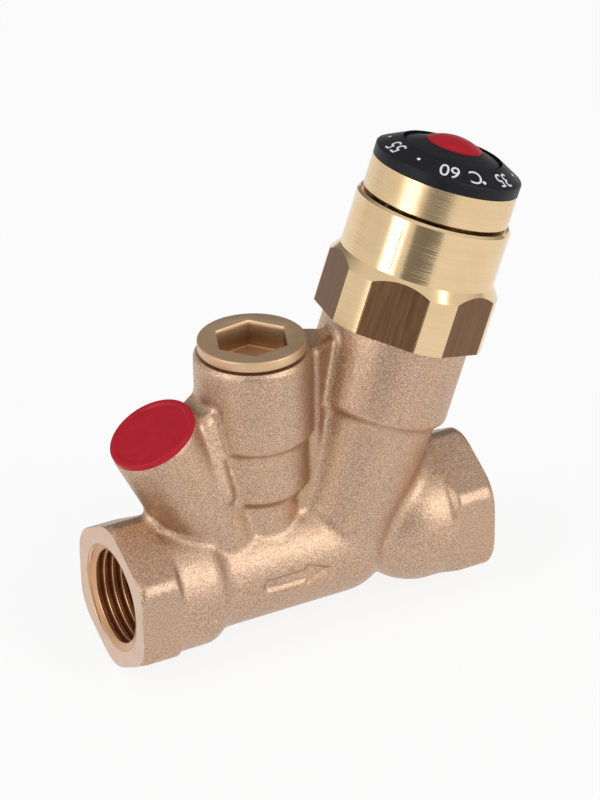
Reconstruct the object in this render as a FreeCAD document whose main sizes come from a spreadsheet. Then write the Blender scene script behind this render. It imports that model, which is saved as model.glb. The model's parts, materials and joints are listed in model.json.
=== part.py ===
import FreeCAD, Part
import math
import os
import Sketcher

V = FreeCAD.Vector
FULL_TURN = 360
QUARTER_TURN = 90
HEXAGON = 6
SQUARE = 4
START_POINT = 1
END_POINT = 2
CENTRE_POINT = 3
ROOT_POINT = -1
VERTICAL_AXIS = -2
DOME = "dome"
MATCH = 0.01
SMOOTH_ANGLE = math.radians(8)
PROBE = 0.1
PROBE_SLACK = 0.001
EDGE_SHARES = (0.3, 0.5, 0.7)
COIL_STEPS = 16
WIRE_SIDES = 6

# Driving sizes in millimetres and degrees. The frame has its origin in the middle of the
# inlet face, X runs with the flow and Z runs up along the shut-off neck.
# Positions along the leaning head axis start where it crosses the flow axis.
SIZES = {
    # flow line
    "face_to_face": 78.2,
    "thread_r": 10.48,
    "thread_depth": 14.0,
    "mouth_r": 10.95,
    "mouth_depth": 0.5,
    "end_flats": 28.0,
    "end_corner_r": 15.6,
    "end_corner_round": 1.2,
    "end_length": 8.6,
    "collar_r": 13.9,
    "collar_end": 17.2,
    "tube_r": 11.87,
    "tube_start": 20.4,
    "outlet_dome": 66.4,
    "cast_run": 0.7,
    "cast_ease": 0.4,
    "cast_blend": 3.0,
    "neck_blend": 1.0,
    "boss_blend": 0.7,
    "root_top": 14.5,
    "overlap": 1.0,
    # shut-off neck
    "neck_x": 31.87,
    "neck_low_r": 8.2,
    "neck_mid_r": 10.25,
    "neck_top_r": 11.35,
    "neck_mid_low": 15.4,
    "neck_mid_start": 17.4,
    "neck_mid_end": 27.6,
    "neck_top_start": 28.6,
    "neck_top": 45.6,
    "neck_edge_round": 1.0,
    # sensor boss and its plug
    "boss_x": 26.85,
    "boss_lean": 26.74,
    "boss_r": 8.95,
    "boss_face": 36.55,
    "boss_edge": 0.4,
    "pocket_r": 6.5,
    "pocket_floor": 18.0,
    "plug_r": 8.78,
    "plug_rim_r": 7.7,
    "plug_face_r": 7.3,
    "plug_top": 37.75,
    "plug_face": 37.4,
    "plug_rim_round": 0.45,
    "plug_shank_r": 6.47,
    "plug_shank_low": 26.0,
    "plug_bore_r": 5.2,
    "plug_roof": 36.2,
    # head branch
    "head_x": 48.36,
    "head_angle": 70.1,
    "branch_foot": 0.0,
    "branch_foot_r": 11.35,
    "branch_waist": 28.0,
    "branch_waist_r": 13.1,
    "branch_neck": 29.8,
    "branch_neck_r": 14.75,
    "branch_face": 45.68,
    # webs of the casting
    "web_thickness": 11.0,
    "web_top": 45.3,
    "web_ridge": 43.3,
    "web_reach": 49.8,
    "web_tip": 3.4,
    "web_round": 1.4,
    "boss_web_top": 37.0,
    "boss_web_foot": 30.0,
    "boss_web_thickness": 9.0,
    "web_root": 4.0,
    # waterways inside the casting
    "ball_chamber_r": 9.2,
    "ball_chamber_end": 40.2,
    "ball_chamber_cone": 15.3,
    "passage_r": 6.0,
    "low_pocket_r": 6.2,
    "low_pocket_floor": -6.5,
    "low_pocket_top": 4.0,
    "seat_bore_r": 5.0,
    "seat_bore_start": 5.2,
    "seat_ring_r": 7.5,
    "seat_ring_floor": 8.5,
    "chamber_floor": 10.5,
    "chamber_r": 10.0,
    "chamber_top": 36.0,
    "bonnet_bore_r": 12.3,
    "outlet_well_r": 9.0,
    "outlet_well_floor": 61.5,
    "port_r": 4.0,
    "port_x": 68.5,
    "port_z": 0.5,
    "port_lean": -33.4,
    "port_length": 14.0,
    # bores of the neck
    "stem_recess_r": 5.9,
    "stem_recess_top": 11.9,
    "stem_bore_r": 4.05,
    "stem_bore_top": 19.5,
    "head_low_bore_r": 6.6,
    "head_low_bore_top": 30.0,
    "head_bore_r": 8.6,
    # ball, ball seats and retainer
    "ball_r": 8.0,
    "ball_bore_r": 5.6,
    "ball_gap": 0.05,
    "slot_width": 3.2,
    "slot_floor": 6.2,
    "ball_seat_r": 9.17,
    "ball_seat_bore_r": 5.7,
    "ball_seat_reach": 3.2,
    "retainer_start": 19.0,
    "retainer_flats": 11.6,
    # stem and key head
    "tang_width": 3.0,
    "tang_length": 5.2,
    "tang_low": 6.35,
    "stem_collar_low": 9.4,
    "stem_collar_r": 5.7,
    "stem_collar_top": 11.2,
    "stem_r": 4.0,
    "stem_shoulder": 19.3,
    "stem_square": 5.5,
    "stem_top": 25.0,
    "stem_groove_r": 3.0,
    "stem_groove_low": 14.65,
    "stem_groove_high": 15.85,
    "washer_low": 11.3,
    "washer_r": 5.85,
    "washer_bore_r": 4.1,
    "head_low": 20.0,
    "head_low_r": 6.5,
    "head_skirt_low": 30.4,
    "head_skirt_r": 8.5,
    "head_flange_low": 46.05,
    "head_flange_r": 10.48,
    "head_top": 48.15,
    "head_edge_round": 0.3,
    "key_flats": 13.0,
    "key_turn": 7.5,
    "key_floor": 42.7,
    "head_square": 5.54,
    "head_square_top": 25.1,
    "dust_groove_r": 7.2,
    "dust_groove_low": 37.0,
    "dust_groove_high": 38.5,
    "snap_groove_r": 7.9,
    "snap_seat_r": 9.03,
    "snap_low": 33.05,
    "snap_high": 34.0,
    "snap_wire_r": 0.45,
    "snap_room": 0.2,
    # bonnet
    "shank_r": 12.26,
    "shank_low": 36.5,
    "bonnet_groove_r": 10.9,
    "bonnet_groove_low": 42.6,
    "bonnet_groove_high": 44.2,
    "bonnet_flats": 32.0,
    "bonnet_hex_r": 17.05,
    "bonnet_hex_top": 56.4,
    "bonnet_cone_top": 58.6,
    "bonnet_r": 15.47,
    "bonnet_bevel": 0.5,
    "bonnet_top": 70.15,
    "bonnet_turn": 19.0,
    "sleeve_bore_r": 8.6,
    "sleeve_bore_top": 62.2,
    "spindle_bore_r": 4.05,
    "keyway_width": 3.0,
    "keyway_r": 9.75,
    "keyway_top": 53.0,
    "stop_radius": 10.5,
    "stop_pin_r": 0.98,
    "stop_hole_r": 1.0,
    "stop_hole_floor": 66.0,
    "stop_pin_top": 72.6,
    "stop_pin_turn": 180.0,
    # spindle
    "spindle_low": 48.6,
    "spindle_lead": 0.5,
    "spindle_thread_r": 4.9,
    "spindle_thread_top": 59.0,
    "spindle_collar_low": 59.5,
    "spindle_collar_r": 7.0,
    "spindle_collar_top": 62.1,
    "spindle_r": 4.0,
    "spindle_groove_r": 3.0,
    "spindle_groove_width": 1.2,
    "spindle_groove_1": 64.2,
    "spindle_groove_2": 67.0,
    "circlip_groove_r": 3.4,
    "circlip_low": 70.45,
    "circlip_high": 71.05,
    "circlip_r": 6.0,
    "circlip_gap": 4.0,
    "spindle_shoulder": 73.0,
    "spindle_square": 5.4,
    "spindle_top": 76.8,
    "screw_hole_r": 1.65,
    "screw_hole_floor": 67.0,
    # knob, scale ring and cover
    "knob_r": 14.55,
    "knob_low": 70.6,
    "knob_top": 77.2,
    "knob_edge": 0.3,
    "knob_recess_r": 12.4,
    "knob_spigot_r": 12.0,
    "knob_spigot_top": 78.4,
    "knob_square": 5.44,
    "lug_low": 70.8,
    "lug_bore_r": 8.8,
    "lug_sweep": 45.0,
    "lug_rest_gap": 24.2,
    "ring_bore_r": 12.03,
    "ring_shoulder": 79.5,
    "ring_roof": 79.8,
    "ring_lip_r": 9.95,
    "ring_top": 82.0,
    "ring_ledge": 80.9,
    "ring_eye_r": 8.0,
    "ring_round": 0.5,
    "cover_r": 9.3,
    "cover_edge": 81.6,
    "cover_shoulder_r": 5.7,
    "cover_top": 82.8,
    "cap_hole_r": 2.6,
    "cap_spigot_r": 2.57,
    "cap_spigot_low": 81.0,
    "cap_r": 5.5,
    "cap_wall": 0.25,
    "cap_rise": 1.5,
    "screw_head_r": 4.6,
    "screw_head_top": 79.2,
    "screw_r": 1.62,
    "screw_low": 69.0,
    "screw_key": 3.0,
    "screw_key_floor": 78.0,
    # setting sleeve and what it carries
    "sleeve_r": 8.5,
    "sleeve_low": 36.0,
    "sleeve_top": 57.0,
    "sleeve_thread_r": 5.0,
    "sleeve_wall_low": 46.5,
    "sleeve_wall_high": 47.5,
    "sleeve_well_r": 6.4,
    "sleeve_groove_r": 6.95,
    "sleeve_groove_low": 37.2,
    "sleeve_groove_high": 37.9,
    "lug_width": 2.8,
    "sleeve_lug_r": 9.55,
    "sleeve_lug_low": 38.0,
    "sleeve_lug_high": 50.0,
    "clip_r": 6.92,
    "clip_bore_r": 5.3,
    "clip_gap": 4.0,
    "plate_r": 6.3,
    "plate_top": 39.5,
    "plate_spigot_r": 4.0,
    "plate_spigot_top": 41.0,
    "over_coil_r": 5.0,
    "over_wire_r": 0.65,
    "over_turns": 3.0,
    "piston_r": 1.5,
    "piston_low": 25.5,
    # element, cone and collar
    "element_r": 5.0,
    "element_low": 17.0,
    "element_flange_low": 29.0,
    "element_flange_r": 7.2,
    "element_flange_top": 31.0,
    "element_neck_r": 3.2,
    "element_top": 36.2,
    "guide_bore_r": 1.55,
    "guide_floor": 24.0,
    "cone_tip": 12.6,
    "cone_tip_r": 4.3,
    "cone_plug_r": 4.7,
    "cone_seal_low": 15.2,
    "cone_disc_low": 16.0,
    "cone_disc_r": 6.9,
    "cone_top": 19.2,
    "cone_socket_r": 5.02,
    "cone_seal_r": 6.85,
    "cone_seal_bore_r": 4.72,
    "collar_low": 27.6,
    "spring_collar_r": 9.4,
    "spring_collar_bore_r": 5.05,
    "seat_lip_r": 6.2,
    "seat_lip_bore_r": 5.6,
    "seat_lip_top": 11.55,
    "seat_ring_top": 11.0,
    "press_gap": 0.02,
    "coil_r": 8.6,
    "coil_wire_r": 0.6,
    "coil_turns": 5.0,
}

document = FreeCAD.newDocument("circulation_valve")
dims = document.addObject("Spreadsheet::Sheet", "dims")
for row, (alias, value) in enumerate(SIZES.items(), start=1):
    dims.set(f"A{row}", alias)
    dims.set(f"B{row}", str(value))
    dims.setAlias(f"B{row}", alias)
document.recompute()

# Each axis of the valve: where it leaves the flow line and how far it leans about Y.
AXES = {
    "flow": ("0", "90"),
    "neck": ("dims.neck_x", "0"),
    "boss": ("dims.boss_x", "-dims.boss_lean"),
    "head": ("dims.head_x", "90 - dims.head_angle"),
}


def size(text):
    """Value of a sheet expression."""
    return float(dims.evalExpression(text))


def seat(item, axis, across="0", sideways="0", along="0", turn="0"):
    """Places an item on one of the valve's axes, moved and turned in that axis' own frame."""
    foot, lean = AXES[axis]
    frame = f"placement(vector({foot}; 0; 0); rotation(vector(0; 1; 0); {lean}))"
    local = f"placement(vector({across}; {sideways}; {along}); rotation(vector(0; 0; 1); {turn}))"
    item.setExpression("Placement", f"{frame} * {local}")
    return item


def plane_of(body, role):
    """Origin plane of a body."""
    return [item for item in body.Origin.OriginFeatures if item.Role == role][0]


def profile(body, name, corners):
    """Closed sketch in a body's XZ plane; two named distances hold every corner.

    A corner marked DOME is followed by an arc about the Z axis instead of a straight edge.
    """
    sketch = body.newObject("Sketcher::SketchObject", name)
    sketch.AttachmentSupport = [(plane_of(body, "XZ_Plane"), "")]
    sketch.MapMode = "FlatFace"
    points = [V(size(corner[0]), size(corner[1]), 0) for corner in corners]
    for edge, corner in enumerate(corners):
        after = points[(edge + 1) % len(points)]
        if DOME in corner:
            sketch.addGeometry(dome_arc(points[edge], after))
        else:
            sketch.addGeometry(Part.LineSegment(points[edge], after))
    for edge, corner in enumerate(corners):
        after = (edge + 1) % len(points)
        sketch.addConstraint(Sketcher.Constraint("Coincident", edge, END_POINT, after, START_POINT))
        if DOME in corner:
            sketch.addConstraint(Sketcher.Constraint("PointOnObject", edge, CENTRE_POINT, VERTICAL_AXIS))
        for kind, label, text in (("DistanceX", "across", corner[0]), ("DistanceY", "along", corner[1])):
            held = Sketcher.Constraint(kind, ROOT_POINT, START_POINT, edge, START_POINT, size(text))
            index = sketch.addConstraint(held)
            sketch.renameConstraint(index, f"{label}_{edge}")
            sketch.setExpression(f"Constraints.{label}_{edge}", text)
    return sketch


def dome_arc(start, end):
    """Quarter circle about a point on the Z axis; one of its ends is on that axis."""
    radius = max(start.x, end.x)
    level = start.y if start.x > end.x else end.y
    circle = Part.Circle(V(0, level, 0), V(0, 0, 1), radius)
    first = 0 if start.x > end.x else -math.pi / 2
    return Part.ArcOfCircle(circle, first, first + math.pi / 2)


def turned(name, axis, corners, rounds=(), turn="0"):
    """Turned piece: a profile of (radius, height) corners spun about one of the valve's axes.

    Each round is (size, [(radius, height), ...]) and softens the rims at those corners.
    """
    body = document.addObject("PartDesign::Body", name)
    sketch = profile(body, f"{name}_profile", corners)
    spun = body.newObject("PartDesign::Revolution", f"{name}_turned")
    spun.Profile = sketch
    spun.ReferenceAxis = (sketch, ["V_Axis"])
    spun.Angle = FULL_TURN
    body.Tip = spun
    sketch.Visibility = False
    document.recompute()
    for number, (radius, rims) in enumerate(rounds):
        base = body.Tip
        edges = [rim_name(base.Shape, size(across), size(along)) for across, along in rims]
        soft = body.newObject("PartDesign::Fillet", f"{name}_round_{number}")
        soft.Base = (base, edges)
        soft.setExpression("Radius", radius)
        body.Tip = soft
        document.recompute()
    return seat(body, axis, turn=turn)


def rim_name(shape, radius, height):
    """Name of the circular edge with this radius and height about the local axis."""
    for number, edge in enumerate(shape.Edges, start=1):
        curve = edge.Curve
        if not isinstance(curve, Part.Circle):
            continue
        same_height = abs(curve.Center.z - height) < MATCH
        if same_height and abs(curve.Radius - radius) < MATCH:
            return f"Edge{number}"
    raise ValueError(f"no rim at radius {radius} and height {height}")


def plate(name, outline, thickness):
    """Flat piece drawn in the XZ plane and grown to both sides of it."""
    body = document.addObject("PartDesign::Body", name)
    sketch = profile(body, f"{name}_outline", outline)
    pad = body.newObject("PartDesign::Pad", f"{name}_pad")
    pad.Profile = sketch
    pad.Midplane = True
    pad.setExpression("Length", thickness)
    body.Tip = pad
    sketch.Visibility = False
    document.recompute()
    return body


def wedge(name, start, start_width, end, end_width, low, high):
    """Upright wall in the XZ plane that narrows from one place along X to another."""
    item = document.addObject("Part::Wedge", name)
    item.setExpression("Ymin", start)
    item.setExpression("Ymax", end)
    for side, sign in (("min", "-"), ("max", "")):
        item.setExpression(f"X{side}", f"{sign}({start_width}) / 2")
        item.setExpression(f"X2{side}", f"{sign}({end_width}) / 2")
    for bottom, top in (("Zmin", "Zmax"), ("Z2min", "Z2max")):
        item.setExpression(bottom, low)
        item.setExpression(top, high)
    item.Placement = FreeCAD.Placement(V(0, 0, 0), FreeCAD.Rotation(V(0, 0, 1), -QUARTER_TURN))
    document.recompute()
    return item


def prism(name, axis, sides, flats, low, high, turn="0"):
    """Regular prism across flats, standing on one of the valve's axes."""
    item = document.addObject("Part::Prism", name)
    item.Polygon = sides
    item.setExpression("Circumradius", f"({flats}) / 2 / cos(180 / {sides})")
    item.setExpression("Height", f"({high}) - ({low})")
    return seat(item, axis, along=low, turn=turn)


def joined(name, items):
    """Fuses items to one solid, one after the other."""
    whole = items[0]
    for number, item in enumerate(items[1:], start=1):
        last = number == len(items) - 1
        step = document.addObject("Part::Fuse", name if last else f"{name}_{number}")
        step.Base = whole
        step.Tool = item
        step.Refine = False
        document.recompute()
        whole = step
    return whole


def common(name, items):
    """Keeps what all items share."""
    item = document.addObject("Part::MultiCommon", name)
    item.Shapes = items
    document.recompute()
    return item


def cut(name, base, tools):
    """Takes the tools away from the base."""
    item = document.addObject("Part::Cut", name)
    item.Base = base
    item.Tool = tools[0] if len(tools) == 1 else joined(f"{name}_tools", tools)
    document.recompute()
    return item


def pin(name, axis, radius, low, high, across="0", turn="0"):
    """Plain cylinder on one of the valve's axes, or beside it at an angle about it."""
    item = document.addObject("Part::Cylinder", name)
    item.setExpression("Radius", radius)
    item.setExpression("Height", f"({high}) - ({low})")
    beside = f"({across}) * cos({turn})"
    aside = f"({across}) * sin({turn})"
    return seat(item, axis, beside, aside, low, turn)


def ring(name, axis, bore, radius, low, high):
    """Plain ring on one of the valve's axes."""
    return turned(name, axis, [(bore, low), (radius, low), (radius, high), (bore, high)])


def open_ring(name, bore, radius, low, high, gap):
    """Retaining ring on the head axis, with the gap that lets it spring into its groove."""
    mouth = block(f"{name}_mouth", "head", radius, gap, low, high, radius)
    return cut(name, ring(f"{name}_blank", "head", bore, radius, low, high), [mouth])


def block(name, axis, width, length, low, high, across="0"):
    """Box on one of the valve's axes, centred on it unless it is moved across."""
    item = document.addObject("Part::Box", name)
    item.setExpression("Length", width)
    item.setExpression("Width", length)
    item.setExpression("Height", f"({high}) - ({low})")
    return seat(item, axis, f"({across}) - ({width}) / 2", f"-({length}) / 2", low)


def torus(name, axis, mean, section, height):
    """Round ring of round section on one of the valve's axes."""
    item = document.addObject("Part::Torus", name)
    item.setExpression("Radius1", mean)
    item.setExpression("Radius2", section)
    return seat(item, axis, along=height)


def o_ring(name, axis, groove, land, low, high):
    """Rubber ring that sits on a groove's floor and stands level with the land beside it."""
    section = f"(({land}) - ({groove})) / 2"
    return torus(name, axis, f"({groove}) + {section}", section, f"(({low}) + ({high})) / 2")


def coil(name, mean, wire, low, high, turns):
    """Compression spring on the head axis, its round wire drawn with a few flat sides."""
    radius = size(f"dims.{mean}")
    thick = size(f"dims.{wire}")
    start = size(f"dims.{low}") + thick
    rise = size(f"dims.{high}") - thick - start
    steps = int(size(f"dims.{turns}") * COIL_STEPS)
    sections = []
    for step in range(steps + 1):
        angle = 2 * math.pi * step / COIL_STEPS
        height = start + rise * step / steps
        section = []
        for side in range(WIRE_SIDES):
            around = 2 * math.pi * side / WIRE_SIDES
            reach = radius + thick * math.cos(around)
            along = height + thick * math.sin(around)
            section.append(V(reach * math.cos(angle), reach * math.sin(angle), along))
        sections.append(section)
    faces = [Part.Face(Part.makePolygon(end + end[:1])) for end in (sections[0], sections[-1])]
    for here, there in zip(sections, sections[1:]):
        for side in range(WIRE_SIDES):
            after = (side + 1) % WIRE_SIDES
            for corners in (
                [here[side], here[after], there[after]],
                [here[side], there[after], there[side]],
            ):
                faces.append(Part.Face(Part.makePolygon(corners + corners[:1])))
    item = document.addObject("Part::Feature", name)
    item.Shape = Part.Solid(Part.Shell(faces))
    return seat(item, "head")


def blended(name, item, radius, chosen):
    """Rounds the chosen ones of the hollow edges where two cast forms meet."""
    edges = [edge for edge in hollow_edges(item.Shape.Solids[0]) if chosen(edge[1])]
    return rounded(name, item, radius, edges)


def rounded(name, item, radius, edges):
    """Rounds numbered edges of an item."""
    soft = document.addObject("Part::Fillet", name)
    soft.Base = item
    soft.Edges = [(number, size(radius), size(radius)) for number, edge in edges]
    document.recompute()
    return soft


def hollow_edges(shape):
    """Numbered edges along which two faces of a shape meet in a hollow."""
    found = []
    for number, edge in enumerate(shape.Edges, start=1):
        faces = shape.ancestorsOfType(edge, Part.Face)
        if len(faces) == 2 and any(is_hollow(shape, edge, faces, share) for share in EDGE_SHARES):
            found.append((number, edge))
    return found


def is_hollow(shape, edge, faces, share):
    """Whether two faces turn up from each other at this share of their common edge."""
    spot = edge.valueAt(edge.FirstParameter + share * (edge.LastParameter - edge.FirstParameter))
    first, second = [face.normalAt(*face.Surface.parameter(spot)) for face in faces]
    if first.getAngle(second) < SMOOTH_ANGLE:
        return False
    aside = (first - second).normalize() * PROBE
    return shape.isInside(spot + aside, PROBE_SLACK, False)


# Casting, outside: five turned forms and two webs that run into each other.
flow_tube = turned(
    "flow_tube",
    "flow",
    [
        ("0", "dims.end_length - dims.overlap"),
        ("dims.collar_r", "dims.end_length - dims.overlap"),
        ("dims.collar_r", "dims.collar_end - dims.cast_run"),
        ("dims.collar_r - dims.cast_ease", "dims.collar_end + dims.cast_run"),
        ("dims.tube_r + dims.cast_ease", "dims.tube_start - dims.cast_run"),
        ("dims.tube_r", "dims.tube_start + dims.cast_run"),
        ("dims.tube_r", "dims.head_x", DOME),
        ("0", "dims.head_x + dims.tube_r"),
    ],
)
outlet_collar = turned(
    "outlet_collar",
    "flow",
    [
        ("0", "dims.outlet_dome - dims.collar_r", DOME),
        ("dims.collar_r", "dims.outlet_dome"),
        ("dims.collar_r", "dims.face_to_face - dims.end_length + dims.overlap"),
        ("0", "dims.face_to_face - dims.end_length + dims.overlap"),
    ],
)


def end_hexagon(name, low, high):
    """Spanner hexagon of one end with its corners turned off."""
    flats = prism(f"{name}_flats", "flow", HEXAGON, "dims.end_flats", low, high)
    rim = [("0", low), ("dims.end_corner_r", low), ("dims.end_corner_r", high), ("0", high)]
    softened = [("dims.end_corner_round", [rim[1], rim[2]])]
    return common(name, [flats, turned(f"{name}_rim", "flow", rim, softened)])


inlet_hexagon = end_hexagon("inlet_hexagon", "0", "dims.end_length")
outlet_hexagon = end_hexagon("outlet_hexagon", "dims.face_to_face - dims.end_length", "dims.face_to_face")
neck = turned(
    "neck",
    "neck",
    [
        ("0", "0"),
        ("dims.neck_low_r", "0"),
        ("dims.neck_low_r", "dims.neck_mid_low"),
        ("dims.neck_mid_r", "dims.neck_mid_start"),
        ("dims.neck_mid_r", "dims.neck_mid_end"),
        ("dims.neck_top_r", "dims.neck_top_start"),
        ("dims.neck_top_r", "dims.neck_top"),
        ("0", "dims.neck_top"),
    ],
    [
        ("dims.neck_edge_round", [("dims.neck_top_r", "dims.neck_top")]),
    ],
)
boss = turned(
    "boss",
    "boss",
    [("0", "0"), ("dims.boss_r", "0"), ("dims.boss_r", "dims.boss_face"), ("0", "dims.boss_face")],
    [("dims.boss_edge", [("dims.boss_r", "dims.boss_face")])],
)
branch = turned(
    "branch",
    "head",
    [
        ("0", "dims.branch_foot"),
        ("dims.branch_foot_r", "dims.branch_foot"),
        ("dims.branch_waist_r", "dims.branch_waist"),
        ("dims.branch_neck_r", "dims.branch_neck"),
        ("dims.branch_neck_r", "dims.branch_face"),
        ("0", "dims.branch_face"),
    ],
)
web_ridge = plate(
    "web_ridge",
    [
        ("dims.neck_x", "dims.web_root"),
        ("dims.web_ridge", "dims.web_root"),
        ("dims.web_ridge", "dims.web_top"),
        ("dims.neck_x", "dims.web_top"),
    ],
    "dims.web_thickness",
)
web_taper = wedge(
    "web_taper",
    "dims.web_ridge",
    "dims.web_thickness",
    "dims.web_reach",
    "dims.web_tip",
    "dims.web_root",
    "dims.web_top",
)


def web_rims(edge):
    """Chooser of the two long edges on top of the web."""
    spot = edge.CenterOfMass
    return abs(spot.z - size("dims.web_top")) < MATCH and abs(spot.y) > size("dims.web_round")


web_forms = joined("web_forms", [web_ridge, web_taper])
web_edges = [edge for edge in enumerate(web_forms.Shape.Edges, start=1) if web_rims(edge[1])]
head_web = rounded("head_web", web_forms, "dims.web_round", web_edges)
boss_web = plate(
    "boss_web",
    [
        ("dims.boss_x", "dims.web_root"),
        ("dims.neck_x", "dims.web_root"),
        ("dims.neck_x", "dims.boss_web_top"),
        ("dims.neck_x - dims.neck_top_r", "dims.boss_web_top"),
        ("dims.boss_x - dims.boss_web_foot * tan(dims.boss_lean)", "dims.boss_web_foot"),
    ],
    "dims.boss_web_thickness",
)


def roots(low_x, high_x, low_z):
    """Chooser of the edges where a form stands on the tube, between two places along it."""

    def chosen(edge):
        spot = edge.CenterOfMass
        beside = size(low_x) < spot.x < size(high_x)
        return beside and size(low_z) < spot.z < size("dims.root_top")

    return chosen


# The forms are joined one by one, and each gets its cast blend before the next one comes.
elbow_roots = roots("dims.neck_x", "dims.face_to_face", "-dims.tube_r")
outlet_roots = roots("dims.head_x", "dims.face_to_face", "-dims.tube_r")
neck_roots = roots("0", "dims.head_x", "dims.web_root")
boss_roots = roots("0", "dims.neck_x", "dims.web_root")
elbow = blended("elbow", joined("elbow_forms", [flow_tube, branch]), "dims.cast_blend", elbow_roots)
trunk = blended("trunk", joined("trunk_forms", [elbow, outlet_collar]), "dims.cast_blend", outlet_roots)
necked = blended("necked", joined("neck_forms", [trunk, neck]), "dims.neck_blend", neck_roots)
bossed = blended("bossed", joined("boss_forms", [necked, boss]), "dims.boss_blend", boss_roots)
casting = joined("casting", [bossed, inlet_hexagon, outlet_hexagon, head_web, boss_web])

# Casting, inside: every bore is turned about its own axis and taken out of the casting.
inlet_bore = turned(
    "inlet_bore",
    "flow",
    [
        ("0", "-dims.overlap"),
        ("dims.mouth_r", "-dims.overlap"),
        ("dims.mouth_r", "0"),
        ("dims.thread_r", "dims.mouth_depth"),
        ("dims.thread_r", "dims.thread_depth"),
        ("dims.ball_chamber_r", "dims.ball_chamber_cone"),
        ("dims.ball_chamber_r", "dims.ball_chamber_end"),
        ("dims.passage_r", "dims.ball_chamber_end"),
        ("dims.passage_r", "dims.head_x"),
        ("0", "dims.head_x"),
    ],
)
outlet_bore = turned(
    "outlet_bore",
    "flow",
    [
        ("0", "dims.outlet_well_floor"),
        ("dims.outlet_well_r", "dims.outlet_well_floor"),
        ("dims.outlet_well_r", "dims.face_to_face - dims.ball_chamber_cone"),
        ("dims.thread_r", "dims.face_to_face - dims.thread_depth"),
        ("dims.thread_r", "dims.face_to_face - dims.mouth_depth"),
        ("dims.mouth_r", "dims.face_to_face"),
        ("dims.mouth_r", "dims.face_to_face + dims.overlap"),
        ("0", "dims.face_to_face + dims.overlap"),
    ],
)
neck_bore = turned(
    "neck_bore",
    "neck",
    [
        ("0", "0"),
        ("dims.stem_recess_r", "0"),
        ("dims.stem_recess_r", "dims.stem_recess_top"),
        ("dims.stem_bore_r", "dims.stem_recess_top"),
        ("dims.stem_bore_r", "dims.stem_bore_top"),
        ("dims.head_low_bore_r", "dims.stem_bore_top"),
        ("dims.head_low_bore_r", "dims.head_low_bore_top"),
        ("dims.head_bore_r", "dims.head_low_bore_top"),
        ("dims.head_bore_r", "dims.snap_low"),
        ("dims.snap_seat_r", "dims.snap_low"),
        ("dims.snap_seat_r", "dims.snap_high"),
        ("dims.head_bore_r", "dims.snap_high"),
        ("dims.head_bore_r", "dims.neck_top + dims.overlap"),
        ("0", "dims.neck_top + dims.overlap"),
    ],
)
branch_bore = turned(
    "branch_bore",
    "head",
    [
        ("0", "dims.low_pocket_floor"),
        ("dims.low_pocket_r", "dims.low_pocket_floor"),
        ("dims.low_pocket_r", "dims.low_pocket_top"),
        ("dims.seat_bore_r", "dims.seat_bore_start"),
        ("dims.seat_bore_r", "dims.seat_ring_floor"),
        ("dims.seat_ring_r", "dims.seat_ring_floor"),
        ("dims.seat_ring_r", "dims.chamber_floor"),
        ("dims.chamber_r", "dims.chamber_floor"),
        ("dims.chamber_r", "dims.chamber_top"),
        ("dims.bonnet_bore_r", "dims.chamber_top"),
        ("dims.bonnet_bore_r", "dims.branch_face + dims.overlap"),
        ("0", "dims.branch_face + dims.overlap"),
    ],
)
pocket_bore = turned(
    "pocket_bore",
    "boss",
    [
        ("0", "dims.pocket_floor"),
        ("dims.pocket_r", "dims.pocket_floor"),
        ("dims.pocket_r", "dims.boss_face + dims.overlap"),
        ("0", "dims.boss_face + dims.overlap"),
    ],
)
outlet_port = document.addObject("Part::Cylinder", "outlet_port")
outlet_port.setExpression("Radius", "dims.port_r")
outlet_port.setExpression("Height", "dims.port_length")
outlet_port.setExpression(
    "Placement",
    "placement(vector(dims.port_x; 0; dims.port_z); rotation(vector(0; 1; 0); dims.port_lean))",
)
valve_body = cut(
    "valve_body",
    casting,
    [inlet_bore, outlet_bore, neck_bore, branch_bore, pocket_bore, outlet_port],
)

# Shut-off: ball between two seats, stem, and the head that a hexagon key turns.
def ball_seat(name, low, high):
    """Ring that seals on the ball, hollowed to the ball's own curve."""
    blank = ring(f"{name}_blank", "flow", "dims.ball_seat_bore_r", "dims.ball_seat_r", low, high)
    hollow = ball(f"{name}_hollow", "dims.ball_r + dims.ball_gap")
    return cut(name, blank, [hollow])


def ball(name, radius):
    """Sphere about the middle of the shut-off."""
    item = document.addObject("Part::Sphere", name)
    item.setExpression("Radius", radius)
    return seat(item, "neck")


ball_seat_outlet = ball_seat(
    "ball_seat_outlet", "dims.neck_x + dims.ball_seat_reach", "dims.ball_chamber_end"
)
ball_seat_inlet = ball_seat(
    "ball_seat_inlet",
    "2 * dims.neck_x - dims.ball_chamber_end",
    "dims.neck_x - dims.ball_seat_reach",
)
retainer_end = "2 * dims.neck_x - dims.ball_chamber_end"
ball_retainer = cut(
    "ball_retainer",
    pin("ball_retainer_blank", "flow", "dims.ball_seat_r", "dims.retainer_start", retainer_end),
    [
        prism(
            "ball_retainer_key",
            "flow",
            HEXAGON,
            "dims.retainer_flats",
            "dims.retainer_start",
            retainer_end,
        )
    ],
)
ball_bore = pin(
    "ball_bore",
    "flow",
    "dims.ball_bore_r",
    "dims.neck_x - dims.ball_r",
    "dims.neck_x + dims.ball_r",
)
ball_slot = block(
    "ball_slot", "neck", "dims.slot_width", "2 * dims.ball_r", "dims.slot_floor", "dims.ball_r"
)
shutoff_ball = cut("shutoff_ball", ball("ball_blank", "dims.ball_r"), [ball_bore, ball_slot])
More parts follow.
